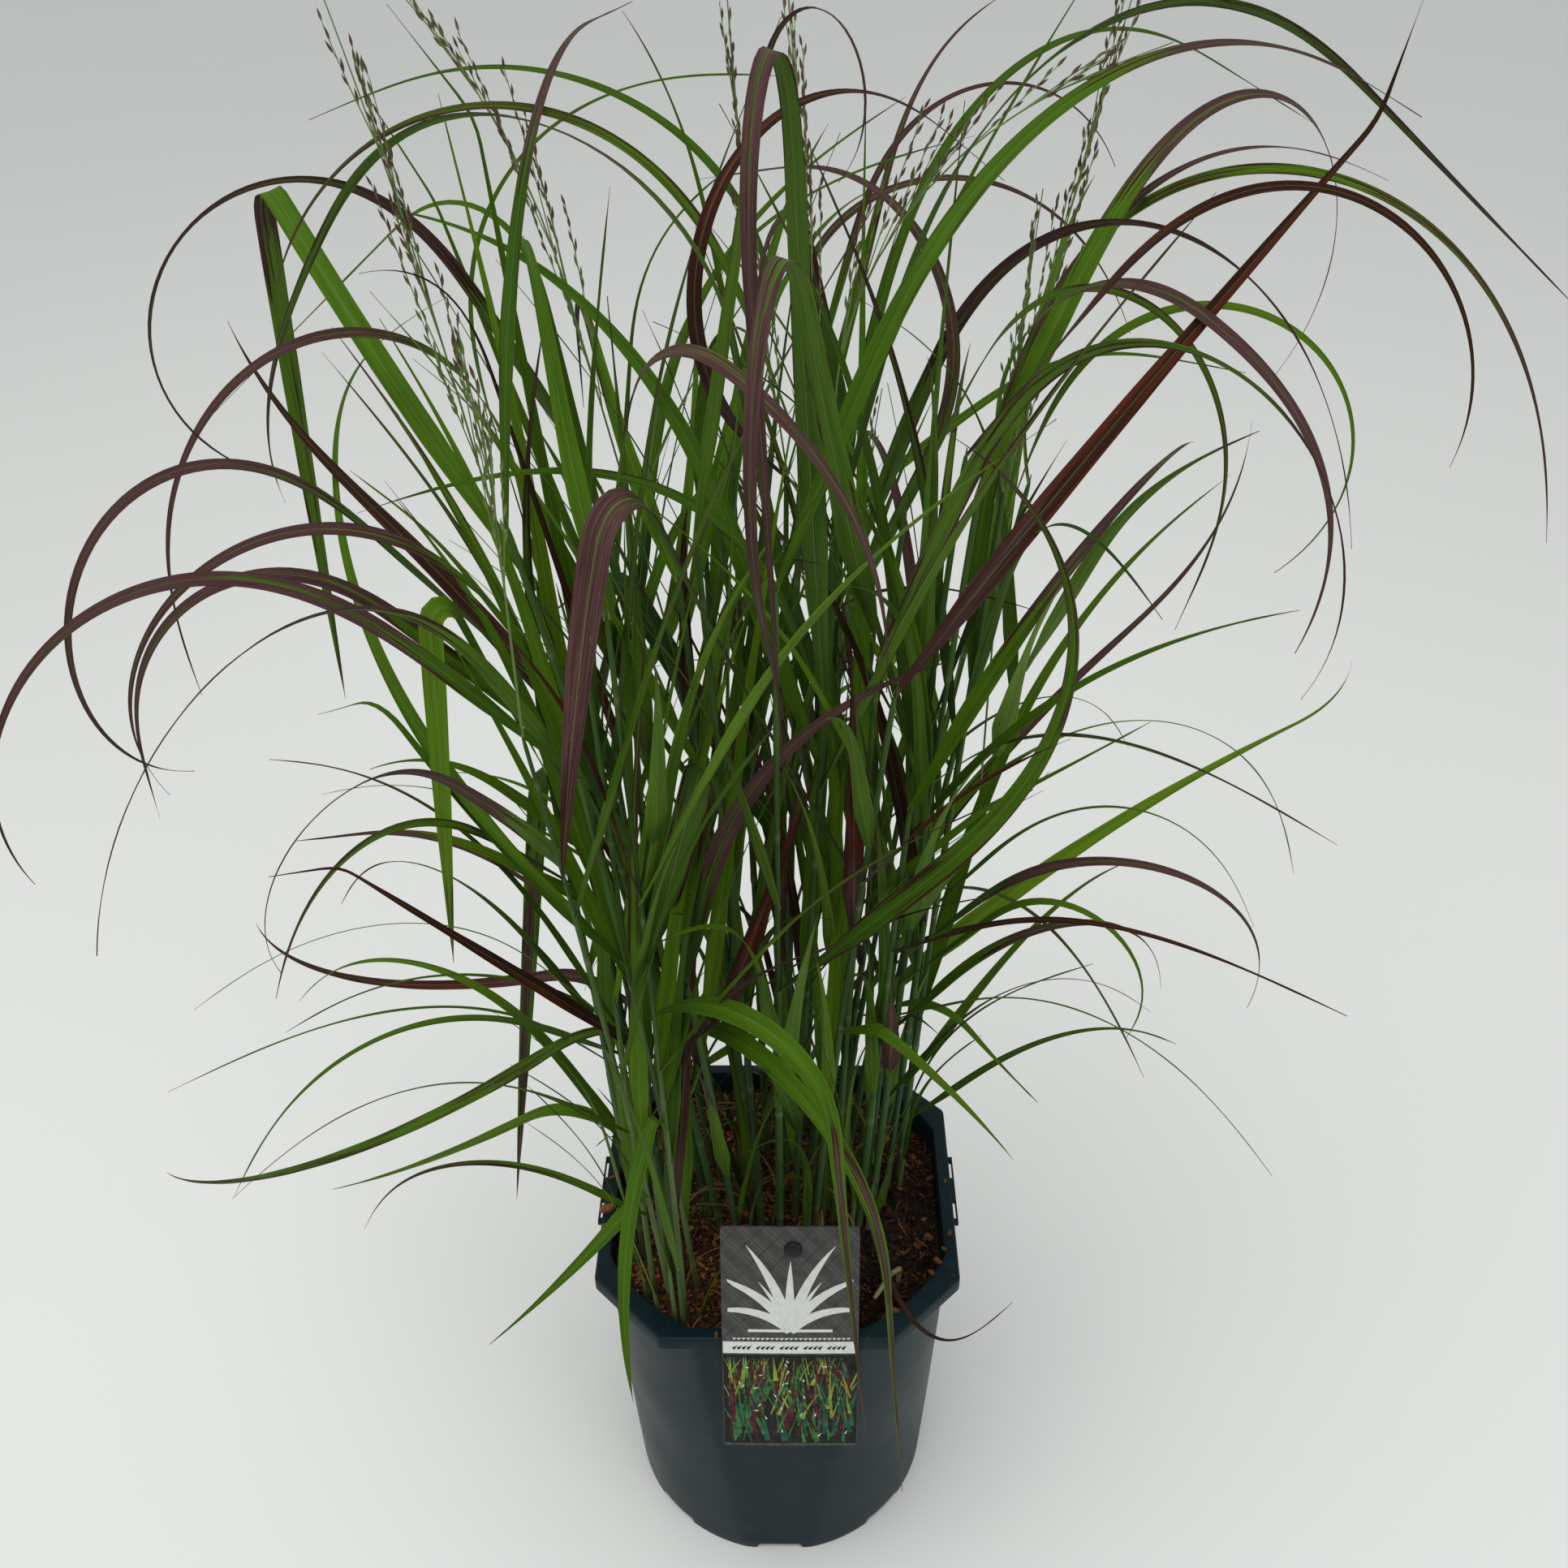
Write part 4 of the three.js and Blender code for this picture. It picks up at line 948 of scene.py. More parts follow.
def panicle(piece, line, row, number, own):
    """An axis with slender branches held close to it, and spikelets on short stalks."""
    draw = sequence(SEED + 31 * number)
    extra = sequence(BRANCH_SEED + 77 * number)
    steps = range(0, CURVE_STEPS + 1, 2)
    radii = [(1.1 - 0.65 * i / CURVE_STEPS) / 2 for i in steps]
    axis_tints = [(0.0, 0.35, 0.0, 1.0)] * len(steps)
    tube(piece, line.points[::2], radii, 6, AS_PANICLE, own, axis_tints)
    for at, turn, spread, reach in list(panicle_branches(row, draw, extra)):
        begin, along = line.points[at], line.ways[at]
        side = Vector((0, 1, 0)).cross(along).normalized()
        front = along.cross(side)
        out = side * math.cos(turn) + front * math.sin(turn)
        way = along * math.cos(spread) + out * math.sin(spread)
        upper = along.lerp(way, 0.6).normalized()

        def spot(share):
            return begin + way * (min(share, 0.5) * reach) + upper * (max(share - 0.5, 0) * reach)

        path = [spot(k / 4) for k in range(5)]
        tints = [(0.12 * i, 0.5, 0.0, 1.0) for i in range(5)]
        tube(piece, path, [0.3, 0.26, 0.22, 0.19, 0.15], 5, AS_PANICLE, own, tints)
        count = max(3, int(reach / 6.5))
        for j in range(count):
            share = min(mixed(0.32, 1.0, (j + 0.3 * extra()) / max(count - 0.6, 1)), 1.0)
            angle = j * 2.6 + 2 * extra()
            tilt = (upper + (side * math.cos(angle) + front * math.sin(angle)) * 0.2).normalized()
            stalk_length = 1.0 + 2.0 * extra() if share < 0.98 else 0.4
            foot = spot(share)
            head = foot + tilt * stalk_length
            stalk_tints = [(0.2, 0.4, 0.0, 1.0)] * 2
            tube(piece, [foot, head], [0.14, 0.13], 4, AS_PANICLE, own, stalk_tints)
            red = ease(begin.z + share * reach, 600, 760) * (0.6 + 0.5 * extra())
            spikelet(piece, head, tilt, 4.0 + 1.4 * extra(), red, own)


# ---- growing the clump ----

def smaller_leaves(number, draw):
    """The smaller leaves of a stem, by rule: one upright over the clump, one that arches out at the
    back, and a short one near the soil where the stem has few large leaves."""
    x, y, _, leaves = STEMS[number]
    inward = math.degrees(math.atan2(-y, -x))
    kinds = ["upright"] + ["arching"] * (y > BACK_ROWS) + ["low"] * (len(leaves) < 3)
    rows = []
    for kind in kinds:
        *ranges, bends = SMALLER_LEAVES[kind]
        height, azimuth, length, *leans, width, twist = (mixed(low, high, draw()) for low, high in ranges)
        if kind != "arching":
            azimuth += inward
        rows.append((height, azimuth, length, *leans, bends, 1, 0, width, twist))
    return rows


class Room:
    """Remembers where growth stands, so that what is added can be kept clear of it."""

    CELL = 5.0
    SPACING = 3.0

    def __init__(self):
        self.cells = {}

    def key(self, point):
        return tuple(int(value // self.CELL) for value in point)

    def take(self, path):
        for a, b in zip(path, path[1:]):
            count = max(1, int((b - a).length / self.SPACING))
            for k in range(count):
                point = a.lerp(b, k / count)
                self.cells.setdefault(self.key(point), []).append(point)

    def clear(self, path, gap):
        """Whether nothing stands nearer than the gap, which is smaller than a cell."""
        for point in path:
            for step in product((-1, 0, 1), repeat=3):
                cell = tuple(a + b for a, b in zip(self.key(point), step))
                if any((point - other).length < gap for other in self.cells.get(cell, ())):
                    return False
        return True


ROOM = Room()


def grow_clump():
    draw = sequence(SEED)
    smaller = [smaller_leaves(number, draw) for number in range(len(STEMS))]
    noise.seed_set(SHADE_SEED)
    for number, (_, _, _, leaves) in enumerate(STEMS):
        name = "stem_%02d" % (number + 1)
        tree = solid_points(name)
        rows = [(row[:10], row[10]) for row in leaves]
        for k, row in enumerate(smaller[number]):
            rows.append((row, SMALLER_TINTS[(number * 3 + k) % len(SMALLER_TINTS)]))
        flowers = [row for row in PANICLES if row[0] == number]
        highest = max([row[0] for row, _ in rows] + [row[1] for row in flowers])
        found = []
        for row, code in rows:
            place = grown(number, row, highest, tree, blade_fits)
            if place:
                found.append((*place, code))
        purple = 0.45 * sum(code in "mpo" for _, _, code in found) / max(len(found), 1)
        piece = Piece()
        culm(piece, number, highest + 4, [moved[0] for moved, _, _ in found], 3.7 * number, purple)
        ROOM.take([stem_point(number, height) for height in range(-6, int(highest + 4), 6)])
        for k, (moved, line, code) in enumerate(found):
            blade(piece, line, moved, code, 10 * number + 1.7 * k)
            ROOM.take(line.points)
        for _, *row in flowers:
            row = (*row, 0)
            as_listed = row, Line(stem_point(number, row[0]), row)
            moved, line = grown(number, row, highest, tree, panicle_fits) or as_listed
            panicle(piece, line, moved, number, 10 * number)
        piece.make("leafy_" + name, [LEAF, CULM, PANICLE], "foliage", name)


grow_clump()


# ---- the small leaves that the solids leave out ----

def settle(piece, line, row, codes, draw, own, first):
    """Draws a leaf where there is room for it, from its given first point on, and says whether
    there was. Its tint is drawn from the codes."""
    if not ROOM.clear(line.points[first:], LEAF_GAP):
        return False
    ROOM.take(line.points)
    code = codes[int(len(codes) * draw())] if len(codes) > 1 else codes
    blade(piece, line, row, code, own)
    return True


def young_shoot(piece, number, draw, own):
    """A thin shoot with one leaf, beside a stem."""
    angle, away = 2 * math.pi * draw(), 4.8 + 4.5 * draw()
    top = 20 + 110 * draw() * draw()
    heights = (-6, 0, top * 0.33, top * 0.66, top)
    path = [stem_point(number, h) + aside(angle, away) * (1 + 0.002 * h) for h in heights]
    heading = math.degrees(angle) + swing(draw, 60)
    length, lean = 70 + 140 * draw(), 2 + 10 * draw()
    bow = lean + 8 + 60 * draw() ** 2
    row = (top, heading, length, lean, bow, 0.2, 1, 0, 3 + 3.2 * draw(), swing(draw, 60))
    line = Line(path[-1], row)
    if not (ROOM.clear(path, 3.6) and ROOM.clear(line.points[2:], 4.2)):
        return False
    ROOM.take(path)
    tints = [(0.0, 0.7, 0.0, 0.35 * own % 1.0 * 0.7)] * len(path)
    marks = [point.z - SOIL_LEVEL for point in path]
    tube(piece, path, [1.5, 1.5, 1.45, 1.3, 1.0], 8, AS_CULM, own, tints, marks)
    ROOM.take(line.points)
    blade(piece, line, row, "gdgbsgdo"[int(8 * draw())], own)
    return True


def inner_leaf(piece, number, draw, own):
    """A leaf in the heart of the clump, that rises from its stem and leans out a little."""
    height, lean = 40 + 270 * draw(), 8 + 26 * draw()
    row = (
        height, 360 * draw(), 150 + 190 * draw(), lean, lean + 10 + 75 * draw() ** 2, 0.25, 1,
        swing(draw, 30), 6 + 6 * draw(), swing(draw, 90),
    )
    line = Line(stem_point(number, height), row)
    tip = line.points[-1]
    # none starts low and ends at the right, where the photo shows the wall between the leaves
    if tip.x > 50 and height < 180:
        return False
    if math.hypot(tip.x, tip.y) > 45 + 0.33 * (tip.z - SOIL_LEVEL):
        return False
    return settle(piece, line, row, "ggdsgmgpgsdmg", draw, own, 5)


def arching_leaf(piece, number, draw, own):
    """A slim leaf that arches out at the left or right of the clump."""
    x = STEMS[number][0]
    height, lean = 40 + 190 * draw(), 30 + 28 * draw()
    row = (
        height, (0 if x > 0 else 180) + swing(draw, 110), 150 + 190 * draw(), lean,
        lean + 45 + 70 * draw(), 0.15, 1, swing(draw, 60), 3.2 + 3.6 * draw(), swing(draw, 80),
    )
    line = Line(stem_point(number, height), row)
    tip = line.points[-1]
    if abs(x) < 25 or not 110 < abs(tip.x) < 270 or abs(tip.y) > 170 or tip.z < SOIL_LEVEL + 40:
        return False
    return settle(piece, line, row, "gdpmgso", draw, own, 4)


def short_leaf(piece, number, draw, own, dead):
    """A leaf that rises from the soil at the foot of a stem and bows over."""
    angle, away = 2 * math.pi * draw(), 3.4 + 3.5 * draw()
    heading = math.degrees(angle) + swing(draw, 80)
    lean = 6 + 22 * draw()
    bend = lean + (70 + 90 * draw() if dead else 15 + 75 * draw())
    length = 35 + 65 * draw() if dead else 40 + 90 * draw()
    width = (2.0 if dead else 2.4) + 2.2 * draw()
    row = (0, heading, length, lean, bend, 0.25, 1, swing(draw, 70), width, swing(draw, 90))
    line = Line(stem_point(number, -3) + aside(angle, away), row)
    tip = line.points[-1]
    if math.hypot(tip.x, tip.y) > 82 or min(p.z for p in line.points[3:]) < SOIL_LEVEL + 1.5:
        return False
    return settle(piece, line, row, "w" if dead else "dgsdgb", draw, own, 4)


def undergrowth():
    """Small repeats that the solids leave out: each piece's name, slot, number of leaves and rule."""
    draw = sequence(UNDERGROWTH_SEED)
    for name, slot, wanted, grow in (
        ("inner_leaves", "foliage", 96, inner_leaf),
        ("arching_leaves", "foliage", 22, arching_leaf),
        ("young_shoots", "foliage", 30, young_shoot),
        ("short_leaves", "foliage", 26, lambda *rest: short_leaf(*rest, False)),
        ("dead_leaves", "straw", 24, lambda *rest: short_leaf(*rest, True)),
    ):
        piece = Piece()
        standing = tries = 0
        while standing < wanted and tries < 3000:
            tries += 1
            standing += grow(piece, int(len(STEMS) * draw()), draw, 3.1 * tries)
        piece.make(name, [LEAF, CULM], slot)


undergrowth()


# ---- dry stalks ----

def bent_stalk():
    """Last year's stalk, snapped at each corner of its path, with a ring of darker fibre there."""
    corners = [Vector(p) for p in ((63, -48, 179), (64, -49, 209), (59, -58, 217), (50, -68, 210))]
    path = [a.lerp(b, i / 8) for a, b in zip(corners, corners[1:]) for i in range(8)] + corners[-1:]
    last = len(path) - 1
    radii = [1.49 - 0.01 * i + 0.35 * (i % 8 == 0 and i > 0) for i in range(last)] + [0.9]
    tints = [(float(i % 8 == 0 and i < last), 0.0, 0.0, 1.0) for i in range(last + 1)]
    piece = Piece()
    tube(piece, path, radii, 10, 0, 3.0, tints, [4.0 * i for i in range(last + 1)])
    piece.make("bent_dry_stalk", [STRAW], "straw", "dry_stalk")


def cut_stub():
    """A stalk cut short, with a hollow in its top whose floor is darkened with painted shade."""
    foot, middle, head = Vector((23.5, 4, 179)), Vector((23.7, 3.4, 203)), Vector((24.2, 2.4, 217))
    brink, floor = head - Vector((0, 0, 0.05)), head - Vector((0.2, -0.4, 6))
    rings = (
        (foot, 2.1), (middle, 2.1), (middle.lerp(head, 0.5), 2.15), (head, 2.1), (brink, 1.35), (floor, 1.2),
    )
    sides = 14
    up = (head - middle).normalized()
    right = Vector((0, 1, 0)).cross(up).normalized()
    points, spots, tints = [], [], []
    for i, (middle, radius) in enumerate(rings):
        points += circle(middle, right, up.cross(right), radius, sides)
        spots += [(5.0 * i, turn, 8.0) for turn in turns(sides)]
        # painted shade on the floor of the hollow
        tints += [(0.8 if i == len(rings) - 1 else 0.0, 0.0, 0.0, 1.0)] * sides
    piece = Piece()
    piece.add(points, skin(len(rings), sides), spots, tints)
    piece.make("cut_stub_straw", [STRAW], "straw", "cut_stub")


bent_stalk()
cut_stub()


# ---- pot ----

POT_HEIGHT = 213.5
LIP_HALF = 95
LIP_CORNER = (2 * LIP_HALF - 36.5) / math.sqrt(2)
# The body's half width at the foot and the top, across its flats and its corners, and its round cone.
BODY_FLATS, BODY_CORNERS = (84.5, 90), (91.5, 102)
CONE_FOOT, CONE_GROWTH = 86.2, 0.065
WALL, FLOOR = 2, 6
NOTCH_HALF, NOTCH_HEIGHT, NOTCH_RADIUS = 13, 3.5, 86
# The lip's section from under it, out, round its skirt and over its top: inset and height.
LIP_EDGE = (
    (1.7, 211.5), (1.5, 211.3), (1.5, 205.3), (1.2, 205), (0.35, 205), (0, 205.4), (0, 212.2),
    (0.25, 213), (0.9, 213.45), (1.4, 213.5),
)


def softer(a, b, blend):
    """The smaller of two lengths, with a rounded change from one to the other."""
    near = max(blend - abs(a - b), 0) / blend
    return min(a, b) - near * near * blend / 4


def octagon_radius(angle, half, corner, blend):
    """The reach of an octagon at an angle, with its half width across the flats and the corners."""
    radius = 1e9
    for k in range(8):
        facing = math.cos(angle - k * math.pi / 4)
        if facing > 0.3:
            radius = softer(radius, (corner if k % 2 else half) / facing, blend)
    return radius


def body_radius(angle, z, inset):
    """The body is a round cone planed flat on eight sides."""
    half, corner = (mixed(*ends, z / POT_HEIGHT) - inset for ends in (BODY_FLATS, BODY_CORNERS))
    return softer(octagon_radius(angle, half, corner, 1.6), CONE_FOOT - inset + CONE_GROWTH * z, 0.9)


def pot_section(angle):
    """The pot's section at an angle, from under the middle of its floor, up the outside and back down
    the inside. The foot has a notch in the middle of each side."""
    away = (abs(math.remainder(angle - k * math.pi / 4, 2 * math.pi)) for k in range(8))
    foot = NOTCH_HEIGHT if any(turn * NOTCH_RADIUS < NOTCH_HALF for turn in away) else 0.0

    def wall(z, inset=0, at=None):
        return body_radius(angle, z if at is None else at, inset), z

    under_lip = wall(211.2, 0, 211.4)
    return [
        (40, 0.0), (61.2, 0.0), (62, 0.8), (62, 3.5), (78, 3.5), (78.4, max(foot, 0.4)), (79.2, foot),
        wall(foot, 1.0), wall(foot + 0.4, 0.15, foot),
        *(wall(z) for z in (foot + 1.2, 8, 20, *range(35, 186, 15), 196, 203, 208)),
        under_lip, (under_lip[0] + 0.3, 211.5),
        *((octagon_radius(angle, LIP_HALF - inset, LIP_CORNER - inset, 1.0), z) for inset, z in LIP_EDGE),
        wall(POT_HEIGHT, 1.0), wall(213.3, 1.7, POT_HEIGHT),
        *(wall(z, WALL) for z in (212.7, 208.5, 203, 193, 170, 140, 110, 80, 50, 20, 7)),
        wall(FLOOR, 3), (40, FLOOR),
    ]


def make_pot():
    columns = [
        [Vector((radius * math.cos(turn), radius * math.sin(turn), z)) for radius, z in pot_section(turn)]
        for turn in turns(360)
    ]
    piece = Piece()
    piece.add(*turned(columns, Vector((0, 0, 0)), Vector((0, 0, FLOOR))))
    for side in (-1, 1):
        ledge(piece, side)
    piece.make("octagonal_pot", [pot_material()], "pot_plastic", "pot", sharp=30)


def ledge(piece, side):
    """A carrying ledge at one side of the lip: a grid of cells, two of which are open."""
    xs, ys, levels = (94.2, 95.05, 96.6, 97.4), (-20, -17, -5, 11, 23, 26), (208.0, 210.5)
    cells = set(product(range(3), range(5))) - {(1, 1), (1, 3)}
    faces = []
    for i, j in cells:
        corners = [(i, j), (i + 1, j), (i + 1, j + 1), (i, j + 1)]
        faces.append([(*corner, 1) for corner in corners])
        faces.append([(*corner, 0) for corner in reversed(corners)])
        for k, cell in enumerate([(i, j - 1), (i + 1, j), (i, j + 1), (i - 1, j)]):
            if cell not in cells:
                a, b = corners[k], corners[(k + 1) % 4]
                faces.append([(*a, 0), (*b, 0), (*b, 1), (*a, 1)])
    used = sorted({corner for face in faces for corner in face}, key=lambda c: (c[2], c[1], c[0]))
    points = [Vector((side * xs[i], ys[j], levels[level])) for i, j, level in used]
    number = {corner: k for k, corner in enumerate(used)}
    piece.add(points, [tuple(number[corner] for corner in face[::side]) for face in faces])


make_pot()


# ---- soil ----

SOIL_RELIEF = 2.6
CHIPS = 5200
CHIP_FACES = [tuple(range(5, -1, -1)), tuple(range(6, 12))]
CHIP_FACES += [(k, (k + 1) % 6, (k + 1) % 6 + 6, k + 6) for k in range(6)]
# A few crumbs lie on the lip and the carrying ledges: place and length.
LIP_CRUMBS = (
    (-92.5, -14, 8), (-91.8, -26, 5), (-91, -32, 3), (91.5, -30, 4), (84, -48, 5), (80, -55, 4),
    (-77, -56, 3), (-30, -92.6, 3), (91.8, 6, 3), (60, -78, 4), (88, -40, 3), (-92, 8, 3),
)


def soil_height(x, y):
    broad = math.sin(x / 13 + 1) * math.cos(y / 16 - 0.7)
    fine = math.sin(x / 4.1 + y / 5.3) * math.cos(y / 3.7 - x / 6.1)
    return SOIL_LEVEL + SOIL_RELIEF * (0.6 * broad + 0.4 * fine)


def crumbly(x, y):
    """The height of the mix with its crumbs."""
    return (
        soil_height(x, y)
        + 1.3 * noise.noise(Vector((x / 4, y / 4, 0)))
        + 0.7 * noise.noise(Vector((x / 1.7, y / 1.7, 5)))
    )


def make_soil():
    """The mix: a crumbly top, and its side inside the pot's wall."""
    rows, bottom = 58, 173.5
    columns = []
    for turn in turns(180):
        reach = body_radius(turn, SOIL_LEVEL, WALL + 0.35)
        flat = [aside(turn, reach * i / rows) for i in range(1, rows + 1)]
        column = [Vector((p.x, p.y, crumbly(p.x, p.y))) for p in flat]
        for z in (185.5, bottom):
            column.append(aside(turn, body_radius(turn, z, WALL + 0.35)) + Vector((0, 0, z)))
        columns.append(column)
    piece = Piece()
    piece.add(*turned(columns, Vector((0, 0, crumbly(0, 0))), Vector((0, 0, bottom)), reverse=True))
    piece.make("potting_mix_bed", [soil_material()], "potting_mix", "soil", sharp=80)


def chip(piece, at, size, angles, tone, darkening, draw):
    """A broken flake of bark: a flat block with no two corners alike."""
    turn, tilt, roll = angles
    spin = Matrix.Rotation(turn, 3, "Z") @ Matrix.Rotation(tilt, 3, "Y") @ Matrix.Rotation(roll, 3, "X")
    points = []
    for z in (-1, 1):
        for x, y in ((-1, -0.7), (0.1, -1), (1, -0.4), (0.8, 0.8), (-0.2, 1), (-0.9, 0.6)):
            jitter = [1 + swing(draw, 0.55) for _ in range(3)]
            corner = [place * whole / 2 * change for place, whole, change in zip((x, y, z), size, jitter)]
            points.append(at + spin @ Vector(corner))
    piece.add(points, CHIP_FACES, None, [(tone, darkening, 0.0, 1.0)] * 12)


def chip_size(draw):
    """Length, width and thickness: a fibre of coir, a crumb, or now and then a larger flake."""
    kind = draw()
    if kind < 0.32:
        return 4 + 8 * draw(), 0.7 + 0.8 * draw(), 0.4 + 0.5 * draw()
    if kind < 0.95:
        return 1.0 + 2.6 * draw(), 0.8 + 1.6 * draw(), 0.4 + 0.8 * draw()
    return 4 + 4 * draw(), 2 + 2.5 * draw(), 0.7 + draw()


def make_chips():
    draw = sequence(CHIP_SEED)
    piece = Piece()
    placed = 0
    while placed < CHIPS:
        x, y = (draw() * 2 - 1) * 92, (draw() * 2 - 1) * 92
        if math.hypot(x, y) > body_radius(math.atan2(y, x), SOIL_LEVEL, 3.6):
            continue
        size = chip_size(draw)
        # a long one doesn't lie through a stem
        if size[0] > 3.5 and any(math.hypot(x - a, y - b) < 3.4 + size[0] / 3 for a, b, *_ in STEMS):
            continue
        # painted shade at the front right: chips there get a darker tone and are darkened more
        painted_shade = ease(x - 0.8 * y + 30 * noise.noise(Vector((x / 22, y / 22, 2))), 10, 60)
        patch = noise.noise(Vector((x / 9, y / 9, 7)))
        tone = min(max(draw() ** 1.3 + 0.3 * patch - 0.3 * painted_shade * draw(), 0), 1)
        height = crumbly(x, y) + 0.35 * size[2] + 0.8 * draw()
        angles = draw() * 6.3, swing(draw, 1.3), swing(draw, 1.3)
        darkening = 0.25 * draw() + 0.92 * painted_shade * (1 - 0.7 * draw() ** 2)
        chip(piece, Vector((x, y, height)), size, angles, tone, darkening, draw)
        placed += 1
    for x, y, length in LIP_CRUMBS:
        size = (length, length * 0.6, length * 0.35)
        at = Vector((x, y, POT_HEIGHT + size[2] * 0.5))
        chip(piece, at, size, (draw() * 6, 0.1, 0.1), 0.45 + 0.3 * draw(), 0.3, draw)
    piece.make("bark_and_coir_chips", [chip_material()], "potting_mix", sharp=25)


make_soil()
make_chips()


# ---- label card ----

CARD_WIDTH, CARD_HEIGHT, CARD_THICKNESS = 68, 131, 0.9
CARD_MIDDLE = 7
CARD_LEFT, CARD_RIGHT = CARD_MIDDLE - CARD_WIDTH / 2, CARD_MIDDLE + CARD_WIDTH / 2
CARD_TURN = Matrix.Rotation(math.radians(-16.2), 3, "X")
CARD_TOP = Vector((0, -78.5, 279.5))
PIN_X, PIN_DOWN = 8.5, 12.5
WHITE, DARK, RED, GREEN, LIME, TEAL = range(6)


def on_card(x, lift, z):
    """A point of the card: right, out of its printed face, and up from its top edge."""
    share = (x - CARD_MIDDLE) / (CARD_WIDTH / 2)
    bow = 0.35 * (share * share - 0.35) + 0.25 * math.sin(z / 34)
    y = -CARD_THICKNESS / 2 - lift + bow
    return CARD_TOP + CARD_TURN @ Vector((x, y, z))


def card_sheet():
    """A grid of points on each face, with the corners a little rounded, and a rim between the faces."""
    across, down, cut = 24, 44, 0.42
    row = across + 1
    back = row * (down + 1)
    points, spots, faces = [], [], []
    for lift in (0.0, -CARD_THICKNESS):
        for j, i in product(range(down + 1), range(row)):
            x, z = CARD_LEFT + CARD_WIDTH * i / across, CARD_HEIGHT * j / down - CARD_HEIGHT
            if i in (0, across) and j in (0, down):
                x += cut if i == 0 else -cut
                z += cut if j == 0 else -cut
            points.append(on_card(x, lift, z))
            spots.append((x - CARD_MIDDLE, lift, z))
    for j, i in product(range(down), range(across)):
        a = j * row + i
        faces.append((a, a + 1, a + row + 1, a + row))
        faces.append((back + a, back + a + row, back + a + row + 1, back + a + 1))
    rim = [*range(across), *(j * row + across for j in range(down))]
    rim += [*(down * row + i for i in range(across, 0, -1)), *(j * row for j in range(down, 0, -1))]
    for a, b in zip(rim, rim[1:] + rim[:1]):
        faces.append((a, back + a, back + b, b))
    piece = Piece()
    piece.add(points, faces, spots)
    piece.make("label_sheet", [card_material()], "card_face", "label_card", sharp=40)


def patch(piece, outline, lift, kind):
    """A printed shape: a thin closed plate over a strip of the card, given as left and right points."""
    points = [on_card(x, height, z) for height in (lift, -0.02) for x, z in outline]
    count = len(outline)
    faces = []
    for a in range(0, count - 2, 2):
        b, c, d = a + 1, a + 3, a + 2
        faces.append((a, b, c, d))
        faces.append((a + count, d + count, c + count, b + count))
        faces.append((b, b + count, c + count, c))
        faces.append((d, d + count, a + count, a))
    faces.append((0, count, count + 1, 1))
    faces.append((count - 2, count - 1, 2 * count - 1, 2 * count - 2))
    piece.add(points, faces, kind=kind)


def printed_blade(piece, foot, angle, length, width, bend, lift, kind, limits, power=0.9):
    """One curved grass blade of the print, kept inside its panel: left, right, low and high."""
    left, right, low, high = limits
    outline = []
    x, z = foot
    steps = 9
    for i in range(steps + 1):
        u = i / steps
        heading = angle + bend * u
        half = width / 2 * (1 - u ** power) + 0.06
        for s in (-half, half):
            px = min(max(x + s * math.cos(heading), left), right)
            pz = min(max(z - s * math.sin(heading), low), high)
            outline.append((px, pz))
        x += math.sin(heading) * length / steps
        z += math.cos(heading) * length / steps
    patch(piece, outline, lift, kind)


def rectangle(piece, half, low, high, kind):
    """A plain printed panel about the card's middle line, in strips so that it follows the bow."""
    steps = 16
    places = [mixed(CARD_MIDDLE - half, CARD_MIDDLE + half, i / steps) for i in range(steps + 1)]
    patch(piece, [(x, z) for x in places for z in (high, low)], 0.05, kind)


def white_tuft(piece):
    """A bold tuft of blades on the quilted part: how each one leans, bends, and its length and width."""
    limits = (CARD_LEFT + 3, CARD_RIGHT - 3, -62, -5)
    for angle, bend, length, width in (
        (-0.02, 0.06, 41, 5.0), (-0.22, -0.42, 55, 5.4), (0.2, 0.5, 55, 5.4), (-0.5, -0.85, 51, 5.2),
        (0.48, 0.9, 51, 5.2), (-0.8, -1.15, 44, 4.6), (0.78, 1.2, 44, 4.6), (-0.36, -0.3, 33, 2.8),
        (0.36, 0.3, 33, 2.8),
    ):
        printed_blade(piece, (CARD_MIDDLE, -60.5), angle, length, width, bend, 0.07, WHITE, limits, 2.4)


def seed_rows(piece):
    """Small seeds above the white strip, and leaf shapes in groups of four on it."""
    for k in range(25):
        x = CARD_LEFT + 5.5 + 2.37 * k
        above, strip = (CARD_LEFT, CARD_RIGHT, -66, -63), (CARD_LEFT, CARD_RIGHT, -73, -68)
        printed_blade(piece, (x, -65.2), 1.2, 1.9, 1.3, 0.2, 0.08, WHITE, above)
        if k % 5 != 4:
            printed_blade(piece, (x, -71.2), 0.7, 2.9, 1.7, 0.3, 0.09, DARK, strip)


